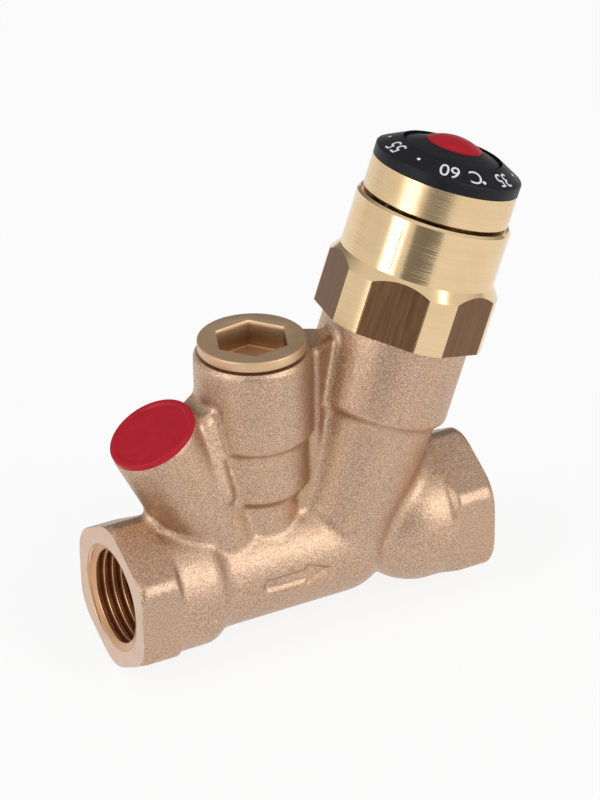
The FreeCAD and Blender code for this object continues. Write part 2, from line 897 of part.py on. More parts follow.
stem_turned = turned(
    "stem_turned",
    "neck",
    [
        ("0", "dims.stem_collar_low"),
        ("dims.stem_collar_r", "dims.stem_collar_low"),
        ("dims.stem_collar_r", "dims.stem_collar_top"),
        ("dims.stem_r", "dims.stem_collar_top"),
        ("dims.stem_r", "dims.stem_groove_low"),
        ("dims.stem_groove_r", "dims.stem_groove_low"),
        ("dims.stem_groove_r", "dims.stem_groove_high"),
        ("dims.stem_r", "dims.stem_groove_high"),
        ("dims.stem_r", "dims.stem_shoulder"),
        ("0", "dims.stem_shoulder"),
    ],
)
stem_tang = block(
    "stem_tang",
    "neck",
    "dims.tang_width",
    "dims.tang_length",
    "dims.tang_low",
    "dims.stem_collar_low + dims.overlap",
)
stem_square = prism(
    "stem_square",
    "neck",
    SQUARE,
    "dims.stem_square",
    "dims.stem_shoulder - dims.overlap",
    "dims.stem_top",
)
shutoff_stem = joined("shutoff_stem", [stem_turned, stem_tang, stem_square])
stem_o_ring = o_ring(
    "stem_o_ring",
    "neck",
    "dims.stem_groove_r",
    "dims.stem_r",
    "dims.stem_groove_low",
    "dims.stem_groove_high",
)
stem_thrust_washer = ring(
    "stem_thrust_washer",
    "neck",
    "dims.washer_bore_r",
    "dims.washer_r",
    "dims.washer_low",
    "dims.stem_recess_top",
)
key_head_turned = turned(
    "key_head_turned",
    "neck",
    [
        ("0", "dims.head_low"),
        ("dims.head_low_r", "dims.head_low"),
        ("dims.head_low_r", "dims.head_skirt_low"),
        ("dims.head_skirt_r", "dims.head_skirt_low"),
        ("dims.head_skirt_r", "dims.snap_low - dims.snap_room"),
        ("dims.snap_groove_r", "dims.snap_low - dims.snap_room"),
        ("dims.snap_groove_r", "dims.snap_high + dims.snap_room"),
        ("dims.head_skirt_r", "dims.snap_high + dims.snap_room"),
        ("dims.head_skirt_r", "dims.dust_groove_low"),
        ("dims.dust_groove_r", "dims.dust_groove_low"),
        ("dims.dust_groove_r", "dims.dust_groove_high"),
        ("dims.head_skirt_r", "dims.dust_groove_high"),
        ("dims.head_skirt_r", "dims.head_flange_low"),
        ("dims.head_flange_r", "dims.head_flange_low"),
        ("dims.head_flange_r", "dims.head_top"),
        ("0", "dims.head_top"),
    ],
    [("dims.head_edge_round", [("dims.head_flange_r", "dims.head_top")])],
)
key_socket = prism(
    "key_socket",
    "neck",
    HEXAGON,
    "dims.key_flats",
    "dims.key_floor",
    "dims.head_top + dims.overlap",
    turn="dims.key_turn",
)
head_square = prism(
    "head_square",
    "neck",
    SQUARE,
    "dims.head_square",
    "dims.head_low - dims.overlap",
    "dims.head_square_top",
)
key_head = cut("key_head", key_head_turned, [key_socket, head_square])
head_dust_ring = o_ring(
    "head_dust_ring",
    "neck",
    "dims.dust_groove_r",
    "dims.head_skirt_r",
    "dims.dust_groove_low",
    "dims.dust_groove_high",
)
head_snap_ring = torus(
    "head_snap_ring",
    "neck",
    "dims.snap_seat_r - dims.press_gap - dims.snap_wire_r",
    "dims.snap_wire_r",
    "dims.snap_low + dims.snap_wire_r",
)

# Sensor pocket plug with its raised, rounded rim.
sensor_plug = turned(
    "sensor_plug",
    "boss",
    [
        ("dims.plug_bore_r", "dims.plug_shank_low"),
        ("dims.plug_shank_r", "dims.plug_shank_low"),
        ("dims.plug_shank_r", "dims.boss_face"),
        ("dims.plug_r", "dims.boss_face"),
        ("dims.plug_r", "dims.plug_top"),
        ("dims.plug_rim_r", "dims.plug_top"),
        ("dims.plug_face_r", "dims.plug_face"),
        ("0", "dims.plug_face"),
        ("0", "dims.plug_roof"),
        ("dims.plug_bore_r", "dims.plug_roof"),
    ],
    [("dims.plug_rim_round", [("dims.plug_r", "dims.plug_top")])],
)

# Bonnet: turned, then six flats are milled that run out on its cone.
bonnet_turned = turned(
    "bonnet_turned",
    "head",
    [
        ("dims.sleeve_bore_r", "dims.shank_low"),
        ("dims.shank_r", "dims.shank_low"),
        ("dims.shank_r", "dims.bonnet_groove_low"),
        ("dims.bonnet_groove_r", "dims.bonnet_groove_low"),
        ("dims.bonnet_groove_r", "dims.bonnet_groove_high"),
        ("dims.shank_r", "dims.bonnet_groove_high"),
        ("dims.shank_r", "dims.branch_face"),
        ("dims.bonnet_hex_r", "dims.branch_face"),
        ("dims.bonnet_hex_r", "dims.bonnet_hex_top"),
        ("dims.bonnet_r", "dims.bonnet_cone_top"),
        ("dims.bonnet_r", "dims.bonnet_top - dims.bonnet_bevel"),
        ("dims.bonnet_r - dims.bonnet_bevel", "dims.bonnet_top"),
        ("dims.spindle_bore_r", "dims.bonnet_top"),
        ("dims.spindle_bore_r", "dims.sleeve_bore_top"),
        ("dims.sleeve_bore_r", "dims.sleeve_bore_top"),
    ],
)
milled_away = cut(
    "milled_away",
    ring(
        "mill_sweep",
        "head",
        "dims.bonnet_r",
        "dims.bonnet_hex_r + dims.overlap",
        "dims.branch_face - dims.overlap",
        "dims.bonnet_cone_top",
    ),
    [
        prism(
            "bonnet_flats",
            "head",
            HEXAGON,
            "dims.bonnet_flats",
            "dims.branch_face - dims.overlap",
            "dims.bonnet_cone_top",
            turn="dims.bonnet_turn",
        )
    ],
)
keyway = block(
    "keyway",
    "head",
    "dims.keyway_width",
    "2 * dims.keyway_r",
    "dims.shank_low - dims.overlap",
    "dims.keyway_top",
)
stop_hole = pin(
    "stop_hole",
    "head",
    "dims.stop_hole_r",
    "dims.stop_hole_floor",
    "dims.bonnet_top + dims.overlap",
    "dims.stop_radius",
    "dims.stop_pin_turn",
)
bonnet = cut("bonnet", bonnet_turned, [milled_away, keyway, stop_hole])
bonnet_o_ring = o_ring(
    "bonnet_o_ring",
    "head",
    "dims.bonnet_groove_r",
    "dims.shank_r",
    "dims.bonnet_groove_low",
    "dims.bonnet_groove_high",
)
stop_pin = pin(
    "stop_pin",
    "head",
    "dims.stop_pin_r",
    "dims.stop_hole_floor",
    "dims.stop_pin_top",
    "dims.stop_radius",
    "dims.stop_pin_turn",
)

# Spindle: its thread moves the sleeve, its square carries the knob.
groove_1_top = "dims.spindle_groove_1 + dims.spindle_groove_width"
groove_2_top = "dims.spindle_groove_2 + dims.spindle_groove_width"
spindle_turned = turned(
    "spindle_turned",
    "head",
    [
        ("0", "dims.spindle_low"),
        ("dims.spindle_thread_r - dims.spindle_lead", "dims.spindle_low"),
        ("dims.spindle_thread_r", "dims.spindle_low + dims.spindle_lead"),
        ("dims.spindle_thread_r", "dims.spindle_thread_top"),
        ("dims.spindle_collar_r", "dims.spindle_collar_low"),
        ("dims.spindle_collar_r", "dims.spindle_collar_top"),
        ("dims.spindle_r", "dims.spindle_collar_top"),
        ("dims.spindle_r", "dims.spindle_groove_1"),
        ("dims.spindle_groove_r", "dims.spindle_groove_1"),
        ("dims.spindle_groove_r", groove_1_top),
        ("dims.spindle_r", groove_1_top),
        ("dims.spindle_r", "dims.spindle_groove_2"),
        ("dims.spindle_groove_r", "dims.spindle_groove_2"),
        ("dims.spindle_groove_r", groove_2_top),
        ("dims.spindle_r", groove_2_top),
        ("dims.spindle_r", "dims.circlip_low"),
        ("dims.circlip_groove_r", "dims.circlip_low"),
        ("dims.circlip_groove_r", "dims.circlip_high"),
        ("dims.spindle_r", "dims.circlip_high"),
        ("dims.spindle_r", "dims.spindle_shoulder"),
        ("0", "dims.spindle_shoulder"),
    ],
)
spindle_square = prism(
    "spindle_square",
    "head",
    SQUARE,
    "dims.spindle_square",
    "dims.spindle_shoulder - dims.overlap",
    "dims.spindle_top",
)
screw_hole = pin(
    "screw_hole",
    "head",
    "dims.screw_hole_r",
    "dims.screw_hole_floor",
    "dims.spindle_top + dims.overlap",
)
setting_spindle = cut(
    "setting_spindle", joined("spindle_blank", [spindle_turned, spindle_square]), [screw_hole]
)
spindle_o_ring_lower = o_ring(
    "spindle_o_ring_lower",
    "head",
    "dims.spindle_groove_r",
    "dims.spindle_r",
    "dims.spindle_groove_1",
    groove_1_top,
)
spindle_o_ring_upper = o_ring(
    "spindle_o_ring_upper",
    "head",
    "dims.spindle_groove_r",
    "dims.spindle_r",
    "dims.spindle_groove_2",
    groove_2_top,
)
spindle_circlip = open_ring(
    "spindle_circlip",
    "dims.circlip_groove_r + dims.press_gap",
    "dims.circlip_r",
    "dims.circlip_low",
    "dims.circlip_high",
    "dims.circlip_gap",
)

# Knob: a turned cup; the lug in its recess meets the stop pin at both ends of the scale.
knob_turned = turned(
    "knob_turned",
    "head",
    [
        ("0", "dims.spindle_shoulder"),
        ("dims.knob_recess_r", "dims.spindle_shoulder"),
        ("dims.knob_recess_r", "dims.knob_low"),
        ("dims.knob_r - dims.knob_edge", "dims.knob_low"),
        ("dims.knob_r", "dims.knob_low + dims.knob_edge"),
        ("dims.knob_r", "dims.knob_top"),
        ("dims.knob_spigot_r", "dims.knob_top"),
        ("dims.knob_spigot_r", "dims.knob_spigot_top"),
        ("dims.screw_head_r + dims.overlap", "dims.knob_spigot_top"),
        ("dims.screw_head_r + dims.overlap", "dims.knob_top"),
        ("0", "dims.knob_top"),
    ],
)
lug_sector = pin(
    "lug_sector",
    "head",
    "dims.knob_recess_r + dims.overlap",
    "dims.lug_low",
    "dims.spindle_shoulder + dims.overlap",
    "0",
    "dims.stop_pin_turn + dims.lug_rest_gap",
)
lug_sector.setExpression("Angle", "dims.lug_sweep")
lug_bore = pin(
    "lug_bore",
    "head",
    "dims.lug_bore_r",
    "dims.lug_low - dims.overlap",
    "dims.spindle_shoulder",
)
stop_lug = cut("stop_lug", lug_sector, [lug_bore])
knob_hole = prism(
    "knob_hole",
    "head",
    SQUARE,
    "dims.knob_square",
    "dims.lug_low",
    "dims.knob_top + dims.overlap",
)
setting_knob = cut("setting_knob", joined("knob_blank", [knob_turned, stop_lug]), [knob_hole])
scale_ring = turned(
    "scale_ring",
    "head",
    [
        ("dims.ring_bore_r", "dims.knob_top"),
        ("dims.knob_r", "dims.knob_top"),
        ("dims.knob_r", "dims.ring_shoulder"),
        ("dims.ring_lip_r", "dims.ring_top"),
        ("dims.ring_lip_r", "dims.ring_ledge"),
        ("dims.ring_eye_r", "dims.ring_ledge"),
        ("dims.ring_eye_r", "dims.ring_roof"),
        ("dims.ring_bore_r", "dims.ring_roof"),
    ],
    [("dims.ring_round", [("dims.knob_r", "dims.ring_shoulder")])],
)
cover_disc = turned(
    "cover_disc",
    "head",
    [
        ("dims.cap_hole_r", "dims.ring_ledge"),
        ("dims.cover_r", "dims.ring_ledge"),
        ("dims.cover_r", "dims.cover_edge"),
        ("dims.cover_shoulder_r", "dims.cover_top"),
        ("dims.cap_hole_r", "dims.cover_top"),
    ],
)
cap_foot = turned(
    "cap_foot",
    "head",
    [
        ("0", "dims.cap_spigot_low"),
        ("dims.cap_spigot_r", "dims.cap_spigot_low"),
        ("dims.cap_spigot_r", "dims.cover_top"),
        ("dims.cap_r", "dims.cover_top"),
        ("dims.cap_r", "dims.cover_top + dims.cap_wall"),
        ("0", "dims.cover_top + dims.cap_wall"),
    ],
)
cap_sphere_r = "(dims.cap_r ^ 2 + dims.cap_rise ^ 2) / (2 * dims.cap_rise)"
cap_dome = document.addObject("Part::Sphere", "cap_dome")
cap_dome.setExpression("Radius", cap_sphere_r)
cap_dome.setExpression("Angle1", f"acos(dims.cap_r / ({cap_sphere_r}))")
seat(cap_dome, "head", along=f"dims.cover_top + dims.cap_wall + dims.cap_rise - {cap_sphere_r}")
centre_cap = joined("centre_cap", [cap_foot, cap_dome])
knob_screw = cut(
    "knob_screw",
    turned(
        "knob_screw_turned",
        "head",
        [
            ("0", "dims.screw_low"),
            ("dims.screw_r", "dims.screw_low"),
            ("dims.screw_r", "dims.knob_top"),
            ("dims.screw_head_r", "dims.knob_top"),
            ("dims.screw_head_r", "dims.screw_head_top"),
            ("0", "dims.screw_head_top"),
        ],
    ),
    [
        prism(
            "screw_key",
            "head",
            HEXAGON,
            "dims.screw_key",
            "dims.screw_key_floor",
            "dims.screw_head_top + dims.overlap",
        )
    ],
)

# Sleeve: a nut that can't turn; below its wall the overtravel spring backs the piston.
sleeve_turned = turned(
    "sleeve_turned",
    "head",
    [
        ("0", "dims.sleeve_wall_low"),
        ("dims.sleeve_well_r", "dims.sleeve_wall_low"),
        ("dims.sleeve_well_r", "dims.sleeve_groove_high"),
        ("dims.sleeve_groove_r", "dims.sleeve_groove_high"),
        ("dims.sleeve_groove_r", "dims.sleeve_groove_low"),
        ("dims.sleeve_well_r", "dims.sleeve_groove_low"),
        ("dims.sleeve_well_r", "dims.sleeve_low"),
        ("dims.sleeve_r", "dims.sleeve_low"),
        ("dims.sleeve_r", "dims.sleeve_top"),
        ("dims.sleeve_thread_r", "dims.sleeve_top"),
        ("dims.sleeve_thread_r", "dims.sleeve_wall_high"),
        ("0", "dims.sleeve_wall_high"),
    ],
)
sleeve_lugs = cut(
    "sleeve_lugs",
    block(
        "sleeve_lug_bar",
        "head",
        "dims.lug_width",
        "2 * dims.sleeve_lug_r",
        "dims.sleeve_lug_low",
        "dims.sleeve_lug_high",
    ),
    [
        pin(
            "sleeve_lug_bore",
            "head",
            "dims.sleeve_r - dims.overlap / 2",
            "dims.sleeve_lug_low",
            "dims.sleeve_lug_high",
        )
    ],
)
setting_sleeve = joined("setting_sleeve", [sleeve_turned, sleeve_lugs])
overtravel_spring = coil(
    "overtravel_spring", "over_coil_r", "over_wire_r", "plate_top", "sleeve_wall_low", "over_turns"
)
pressure_plate = turned(
    "pressure_plate",
    "head",
    [
        ("0", "dims.sleeve_groove_high"),
        ("dims.plate_r", "dims.sleeve_groove_high"),
        ("dims.plate_r", "dims.plate_top"),
        ("dims.plate_spigot_r", "dims.plate_top"),
        ("dims.plate_spigot_r", "dims.plate_spigot_top"),
        ("0", "dims.plate_spigot_top"),
    ],
)
sleeve_retaining_ring = open_ring(
    "sleeve_retaining_ring",
    "dims.clip_bore_r",
    "dims.clip_r",
    "dims.sleeve_groove_low",
    "dims.sleeve_groove_high",
    "dims.clip_gap",
)
element_piston = pin(
    "element_piston", "head", "dims.piston_r", "dims.piston_low", "dims.sleeve_groove_high"
)

# Element: the capsule grows with the water's heat and pushes the cone towards its seat.
wax_element = turned(
    "wax_element",
    "head",
    [
        ("0", "dims.element_low"),
        ("dims.element_r", "dims.element_low"),
        ("dims.element_r", "dims.element_flange_low"),
        ("dims.element_flange_r", "dims.element_flange_low"),
        ("dims.element_flange_r", "dims.element_flange_top"),
        ("dims.element_neck_r", "dims.element_flange_top"),
        ("dims.element_neck_r", "dims.element_top"),
        ("dims.guide_bore_r", "dims.element_top"),
        ("dims.guide_bore_r", "dims.guide_floor"),
        ("0", "dims.guide_floor"),
    ],
)
regulating_cone = turned(
    "regulating_cone",
    "head",
    [
        ("0", "dims.cone_tip"),
        ("dims.cone_tip_r", "dims.cone_tip"),
        ("dims.cone_plug_r", "dims.cone_seal_low"),
        ("dims.cone_plug_r", "dims.cone_disc_low"),
        ("dims.cone_disc_r", "dims.cone_disc_low"),
        ("dims.cone_disc_r", "dims.cone_top"),
        ("dims.cone_socket_r", "dims.cone_top"),
        ("dims.cone_socket_r", "dims.element_low"),
        ("0", "dims.element_low"),
    ],
)
cone_seal = ring(
    "cone_seal",
    "head",
    "dims.cone_seal_bore_r",
    "dims.cone_seal_r",
    "dims.cone_seal_low",
    "dims.cone_disc_low",
)
spring_collar = ring(
    "spring_collar",
    "head",
    "dims.spring_collar_bore_r",
    "dims.spring_collar_r",
    "dims.collar_low",
    "dims.element_flange_low",
)
seat_ring = turned(
    "seat_ring",
    "head",
    [
        ("dims.seat_bore_r + dims.press_gap", "dims.seat_ring_floor"),
        ("dims.seat_ring_r - dims.press_gap", "dims.seat_ring_floor"),
        ("dims.seat_ring_r - dims.press_gap", "dims.seat_ring_top"),
        ("dims.seat_lip_r", "dims.seat_lip_top"),
        ("dims.seat_lip_bore_r", "dims.seat_lip_top"),
        ("dims.seat_bore_r + dims.press_gap", "dims.seat_ring_top"),
    ],
)
return_spring = coil("return_spring", "coil_r", "coil_wire_r", "chamber_floor", "collar_low", "coil_turns")

PIECES = [
    valve_body,
    seat_ring,
    ball_seat_inlet,
    ball_seat_outlet,
    ball_retainer,
    sensor_plug,
    bonnet,
    bonnet_o_ring,
    stop_pin,
    stem_thrust_washer,
    head_snap_ring,
    return_spring,
    shutoff_ball,
    shutoff_stem,
    stem_o_ring,
    key_head,
    head_dust_ring,
    setting_knob,
    scale_ring,
    cover_disc,
    centre_cap,
    knob_screw,
    setting_spindle,
    spindle_o_ring_upper,
    spindle_o_ring_lower,
    spindle_circlip,
    setting_sleeve,
    overtravel_spring,
    pressure_plate,
    sleeve_retaining_ring,
    element_piston,
    wax_element,
    regulating_cone,
    cone_seal,
    spring_collar,
]
document.recompute()
for item in document.Objects:
    if "Invalid" in item.State or "Error" in item.State:
        raise RuntimeError(f"{item.Name}: {item.State}")
os.makedirs("parts", exist_ok=True)
for piece in PIECES:
    if piece.Shape.isNull() or not piece.Shape.isValid():
        raise RuntimeError(f"{piece.Label}: bad shape")
    piece.Shape.exportStep(f"parts/{piece.Label}.step")
    print(piece.Label, len(piece.Shape.Solids), round(piece.Shape.Volume, 1))
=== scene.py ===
# %% [markdown]
# # A circulation valve in cast gunmetal and turned brass
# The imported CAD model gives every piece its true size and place, in metres, so the lesson starts
# by loading it as a fixed frame. The steps after that dress it: the casting gets its soft skin,
# the ports get their threads, the dial gets its numbers, and each metal and plastic gets a finish.

# %% Load the frame
import json
import math

import bpy
from mathutils import Matrix, Vector


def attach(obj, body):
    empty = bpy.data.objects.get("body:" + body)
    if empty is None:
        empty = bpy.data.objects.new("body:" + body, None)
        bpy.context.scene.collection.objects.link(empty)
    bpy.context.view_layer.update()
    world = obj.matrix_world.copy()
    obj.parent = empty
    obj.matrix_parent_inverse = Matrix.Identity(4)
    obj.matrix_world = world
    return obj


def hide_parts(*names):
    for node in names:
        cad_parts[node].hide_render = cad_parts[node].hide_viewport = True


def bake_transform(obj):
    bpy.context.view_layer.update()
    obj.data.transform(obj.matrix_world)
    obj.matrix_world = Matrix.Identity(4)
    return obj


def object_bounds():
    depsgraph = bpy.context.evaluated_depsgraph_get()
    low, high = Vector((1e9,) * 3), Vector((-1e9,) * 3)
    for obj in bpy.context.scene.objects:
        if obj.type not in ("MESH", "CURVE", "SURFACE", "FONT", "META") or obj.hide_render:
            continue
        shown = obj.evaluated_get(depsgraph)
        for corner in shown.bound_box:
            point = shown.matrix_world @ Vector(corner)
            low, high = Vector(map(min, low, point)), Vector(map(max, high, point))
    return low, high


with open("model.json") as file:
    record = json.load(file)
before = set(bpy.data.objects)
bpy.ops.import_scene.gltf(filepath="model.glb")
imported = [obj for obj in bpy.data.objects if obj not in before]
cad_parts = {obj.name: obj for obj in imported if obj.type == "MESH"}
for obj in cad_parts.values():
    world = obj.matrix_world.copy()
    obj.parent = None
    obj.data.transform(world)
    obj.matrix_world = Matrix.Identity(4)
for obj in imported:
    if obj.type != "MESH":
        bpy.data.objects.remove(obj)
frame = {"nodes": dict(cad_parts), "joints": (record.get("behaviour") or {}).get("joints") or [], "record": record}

MM = 0.001
cad_low, cad_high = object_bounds()
bpy.ops.object.select_all(action="DESELECT")
print("CAD box in mm:", [round(v / MM, 1) for v in cad_high - cad_low])

# %% [markdown]
# ## Three axes
# Every turned piece of the valve sits on one of three lines in the XZ plane: the upright shut-off
# neck, the leaning head with the knob, and the sensor boss that leans the other way. The two
# joints already hold the first two, so only the boss is written down here. A place is a matrix
# whose Z column runs along the axis, so a piece can be made upright and then put there.

# %% Places on the valve
LENGTH = 78.2 * MM
HEAD_FOOT = 48.36 * MM
BOSS_FOOT = 26.85 * MM
BOSS_LEAN = math.radians(26.74)
joints = {joint["name"]: joint for joint in frame["joints"]}


def place_on(axis, foot):
    along = Vector(axis).normalized()
    sideways = Vector((0, 1, 0))
    across = sideways.cross(along)
    turn = Matrix((across, sideways, along)).transposed()
    return Matrix.Translation(foot) @ turn.to_4x4()


def up_axis(place, distance):
    """The point on an axis at a distance from its foot."""
    return place @ Vector((0, 0, distance))


NECK = place_on(joints["shutoff_turn"]["axis"], (joints["shutoff_turn"]["pos_m"][0], 0, 0))
HEAD = place_on(joints["knob_turn"]["axis"], (HEAD_FOOT, 0, 0))
BOSS = place_on((-math.sin(BOSS_LEAN), 0, math.cos(BOSS_LEAN)), (BOSS_FOOT, 0, 0))
FLOW = place_on((1, 0, 0), (0, 0, 0))
print("head axis:", [round(v, 4) for v in HEAD.col[2][:3]])

# %% [markdown]
# ## Finishes as arithmetic
# A finish is a small sum: a base colour, plus a little of this noise, times that mask. Wiring such
# a sum by hand hides it, so one class wraps an output socket and turns +, - and * into Math nodes.
# Every other node comes from its method node, which takes the node's type, its settings and what
# goes into its sockets.

# %% The wire class


class Wire:
    """An output socket of a finish. Arithmetic on it adds Math nodes to the finish."""

    def __init__(self, tree, socket):
        self.tree = tree
        self.socket = socket

    def node(self, kind, settings=None, sockets=None, out=0):
        made = self.tree.nodes.new(kind)
        for key, value in (settings or {}).items():
            setattr(made, key, value)
        for key, value in (sockets or {}).items():
            if isinstance(value, Wire):
                self.tree.links.new(value.socket, made.inputs[key])
            else:
                made.inputs[key].default_value = value
        return Wire(self.tree, made.outputs[out])

    def math(self, operation, first, second=0.0):
        return self.node("ShaderNodeMath", {"operation": operation}, {0: first, 1: second})

    def __add__(self, other):
        return self.math("ADD", self, other)

    def __sub__(self, other):
        return self.math("SUBTRACT", self, other)

    def __rsub__(self, other):
        return self.math("SUBTRACT", other, self)

    def __mul__(self, other):
        return self.math("MULTIPLY", self, other)

    __radd__ = __add__
    __rmul__ = __mul__


# %% [markdown]
# The nodes that the finishes use most get short names: noise in space, lines along one direction,
# a soft step between two levels, a mix of two colours, the share of a vector along another, and a
# bump. A step has smooth ends, so that a mask made from it leaves no hard line on the metal.

# %% Short names for common nodes


def noise(spot, scale, detail=2.0):
    sockets = {"Vector": spot, "Scale": scale, "Detail": detail}
    return spot.node("ShaderNodeTexNoise", {}, sockets)


def lines(along, scale, detail=2.0):
    sockets = {"W": along, "Scale": scale, "Detail": detail}
    return along.node("ShaderNodeTexNoise", {"noise_dimensions": "1D"}, sockets)


def rise(value, low, high, bottom=0.0, top=1.0):
    sockets = {0: value, 1: low, 2: high, 3: bottom, 4: top}
    return value.node("ShaderNodeMapRange", {"interpolation_type": "SMOOTHSTEP"}, sockets)


def tint(share, first, second):
    sockets = {0: share, 6: first, 7: second}
    return share.node("ShaderNodeMix", {"data_type": "RGBA"}, sockets, 2)


def dot_product(vector, other):
    settings = {"operation": "DOT_PRODUCT"}
    return vector.node("ShaderNodeVectorMath", settings, {0: vector, 1: other}, 1)


def bump(height, strength, distance):
    sockets = {"Height": height, "Strength": strength, "Distance": distance * MM}
    return height.node("ShaderNodeBump", {}, sockets)


# %% [markdown]
# Every finish starts in the same way: a new material, and the object's own coordinates brought to
# millimetres, so that the sizes in a finish can be read off the real part. Turned pieces also need
# the distance from their axis, the way along it and the angle round it.

# %% Start and feed a finish
FINISHES = {}


def start_finish(name):
    """Files a new material by name, and gives its shader and the object's place in millimetres."""
    material = bpy.data.materials.new(name)
    FINISHES[name] = material
    material.use_nodes = True
    tree = material.node_tree
    spot = Wire(tree, tree.nodes.new("ShaderNodeTexCoord").outputs["Object"])
    scaled = spot.node("ShaderNodeVectorMath", {"operation": "SCALE"}, {0: spot, "Scale": 1 / MM})
    return tree.nodes["Principled BSDF"], scaled


def feed(shader, **values):
    """Sets or links sockets of a shader: base_color=..., roughness=... and so on."""
    for key, value in values.items():
        socket = shader.inputs[key.replace("_", " ").title().replace("Ior", "IOR")]
        if isinstance(value, Wire):
            value.tree.links.new(value.socket, socket)
        else:
            socket.default_value = value


def about(spot, place):
    """Distance from an axis, position along it and angle round it, in millimetres and radians."""
    foot = tuple(v / MM for v in place.translation)
    local = spot.node("ShaderNodeVectorMath", {"operation": "SUBTRACT"}, {0: spot, 1: foot})
    across, sideways, along = (dot_product(local, tuple(axis.xyz)) for axis in place.col[:3])
    radius = across.math("SQRT", across * across + sideways * sideways)
    return radius, along, across.math("ARCTAN2", sideways, across)


# %% [markdown]
# ## The casting's finish
# Sand-cast gunmetal is shot-blasted after casting, which leaves a dense, matt grain with tiny
# sparkling facets and a pink-tan colour. One noise is the grain: it bends the normals and darkens
# the pits to brown. A finer one picks out the facets: they are glossier, and their paler colour is
# painted glints. A slow swell keeps long reflections uneven, and a wide noise lets the colour drift
# a little.

# %% Cast gunmetal


def cast_gunmetal():
    shader, spot = start_finish("cast_gunmetal")
    swell = noise(spot, 0.45)
    grain = noise(spot, 4.0, 3.0)
    drift = rise(noise(spot, 0.09), 0.35, 0.65)
    facets_and_glints = rise(noise(spot, 5.5, 1.0), 0.56, 0.72)
    pits = tint(drift, (0.365, 0.220, 0.137, 1), (0.34, 0.210, 0.137, 1))
    crests = tint(drift, (0.690, 0.475, 0.332, 1), (0.665, 0.46, 0.332, 1))
    blasted = tint(rise(grain, 0.3, 0.7), pits, crests)
    # The facets' paler colour is painted glints; their lower roughness and their bump are real gloss.
    feed(
        shader,
        base_color=tint(facets_and_glints * 0.8, blasted, (0.95, 0.74, 0.53, 1)),
        metallic=1.0,
        roughness=0.40 - facets_and_glints * 0.12,
        normal=bump(grain + facets_and_glints * 0.3 + swell * 2.0, 0.5, 0.11),
    )


def faced_gunmetal():
    """The same metal where a tool has faced it: paler, smoother, with faint circular marks."""
    shader, spot = start_finish("faced_gunmetal")
    radius, along, _ = about(spot, FLOW)
    marks = lines(radius * 1.7 + along, 3.5, 3.0)
    drift = noise(spot, 0.25)
    colour = tint(rise(drift, 0.3, 0.7), (0.72, 0.54, 0.42, 1), (0.68, 0.49, 0.37, 1))
    feed(
        shader,
        base_color=colour,
        metallic=1.0,
        roughness=0.34 + marks * 0.14,
        normal=bump(marks, 0.25, 0.05),
    )


cast_gunmetal()
faced_gunmetal()
print("finishes:", list(FINISHES))

# %% [markdown]
# ## Turned and drawn brass
# Bonnet and knob come from the lathe, so fine lines run round the axis and smear every reflection
# along it. A noise with one dimension, read along the profile, gives lines of that kind. The six
# flats of the bonnet keep the brown drawn skin of the hexagon bar, with streaks along the axis.
# The flats are found by arithmetic: on a flat, the distance from the axis times the cosine of the
# angle to the flat's normal is half the width across flats.

# %% Brass
BONNET_HALF_FLATS = 16.0
BONNET_CORNER_R = 17.05
BONNET_TURN = math.radians(19.0)
SIXTH = math.tau / 6
BRASS, BRASS_DARK = (0.86, 0.640, 0.380, 1), (0.66, 0.46, 0.25, 1)
PORT_BRASS, PORT_DARK = (0.70, 0.41, 0.23, 1), (0.44, 0.225, 0.11, 1)


def turned_brass(name, place, colour, dark, line_scale, roughness):
    """Lathe-turned brass: lines round the axis show in normals, gloss and a little in colour."""
    shader, spot = start_finish(name)
    radius, along, _ = about(spot, place)
    track = radius * 1.37 + along
    fine = lines(track, line_scale, 3.0)
    broad = lines(track, line_scale * 0.13)
    stain = rise(noise(spot, 0.12, 3.0), 0.45, 0.75)
    base = tint(fine * 0.35 + broad * 0.25 + stain * 0.2, colour, dark)
    gloss = roughness + fine * 0.12
    return shader, spot, base, gloss, bump(fine + broad * 0.6, 0.3, 0.07)


def plain_brass(name, place, colour, dark, line_scale, roughness):
    shader, _, base, gloss, normal = turned_brass(name, place, colour, dark, line_scale, roughness)
    feed(shader, base_color=base, metallic=1.0, roughness=gloss, normal=normal)


def bonnet_brass(colour, dark, line_scale, roughness):
    shader, spot, base, gloss, normal = turned_brass(
        "bonnet_brass", HEAD, colour, dark, line_scale, roughness
    )
    radius, along, angle = about(spot, HEAD)
    turned_angle = angle - BONNET_TURN + math.tau
    in_sixth = turned_angle.math("MODULO", turned_angle, SIXTH) - SIXTH / 2
    reach = radius * in_sixth.math("COSINE", in_sixth)
    on_flat = rise(reach, BONNET_HALF_FLATS - 0.04, BONNET_HALF_FLATS - 0.01)
    inside = rise(radius, BONNET_CORNER_R - 0.12, BONNET_CORNER_R - 0.03, 1.0, 0.0)
    flat = on_flat * inside
    sideways = radius * in_sixth.math("SINE", in_sixth)
    streak_spot = spot.node(
        "ShaderNodeCombineXYZ", {}, {0: sideways * 2.2, 1: along * 0.10, 2: angle * 3.0}
    )
    streaks = noise(streak_spot, 1.0, 4.0)
    bar = tint(rise(streaks, 0.3, 0.75), (0.170, 0.086, 0.042, 1), (0.225, 0.125, 0.065, 1))
    feed(
        shader,
        base_color=tint(flat, base, bar),
        metallic=1.0,
        roughness=gloss * (1 - flat) + flat * (0.36 + streaks * 0.1),
        normal=normal,
    )


bonnet_brass(BRASS, BRASS_DARK, line_scale=2.4, roughness=0.1)
plain_brass("knob_brass", HEAD, BRASS, BRASS_DARK, line_scale=2.4, roughness=0.2)
plain_brass("thread_brass", FLOW, PORT_BRASS, PORT_DARK, line_scale=2.0, roughness=0.22)
print("finishes:", list(FINISHES))

# %% [markdown]
# The key head is the same turned brass, dulled by handling. Its socket was broached, and its walls
# are painted dark brown: partly the patina where no tool polishes them, partly painted shade deep in
# the recess. Masks of radius and depth darken the walls and leave the socket's floor bright.

# %% Key head brass
KEY_TOP = 48.15
SOCKET_FLOOR = 42.7
SOCKET_REACH = 7.6


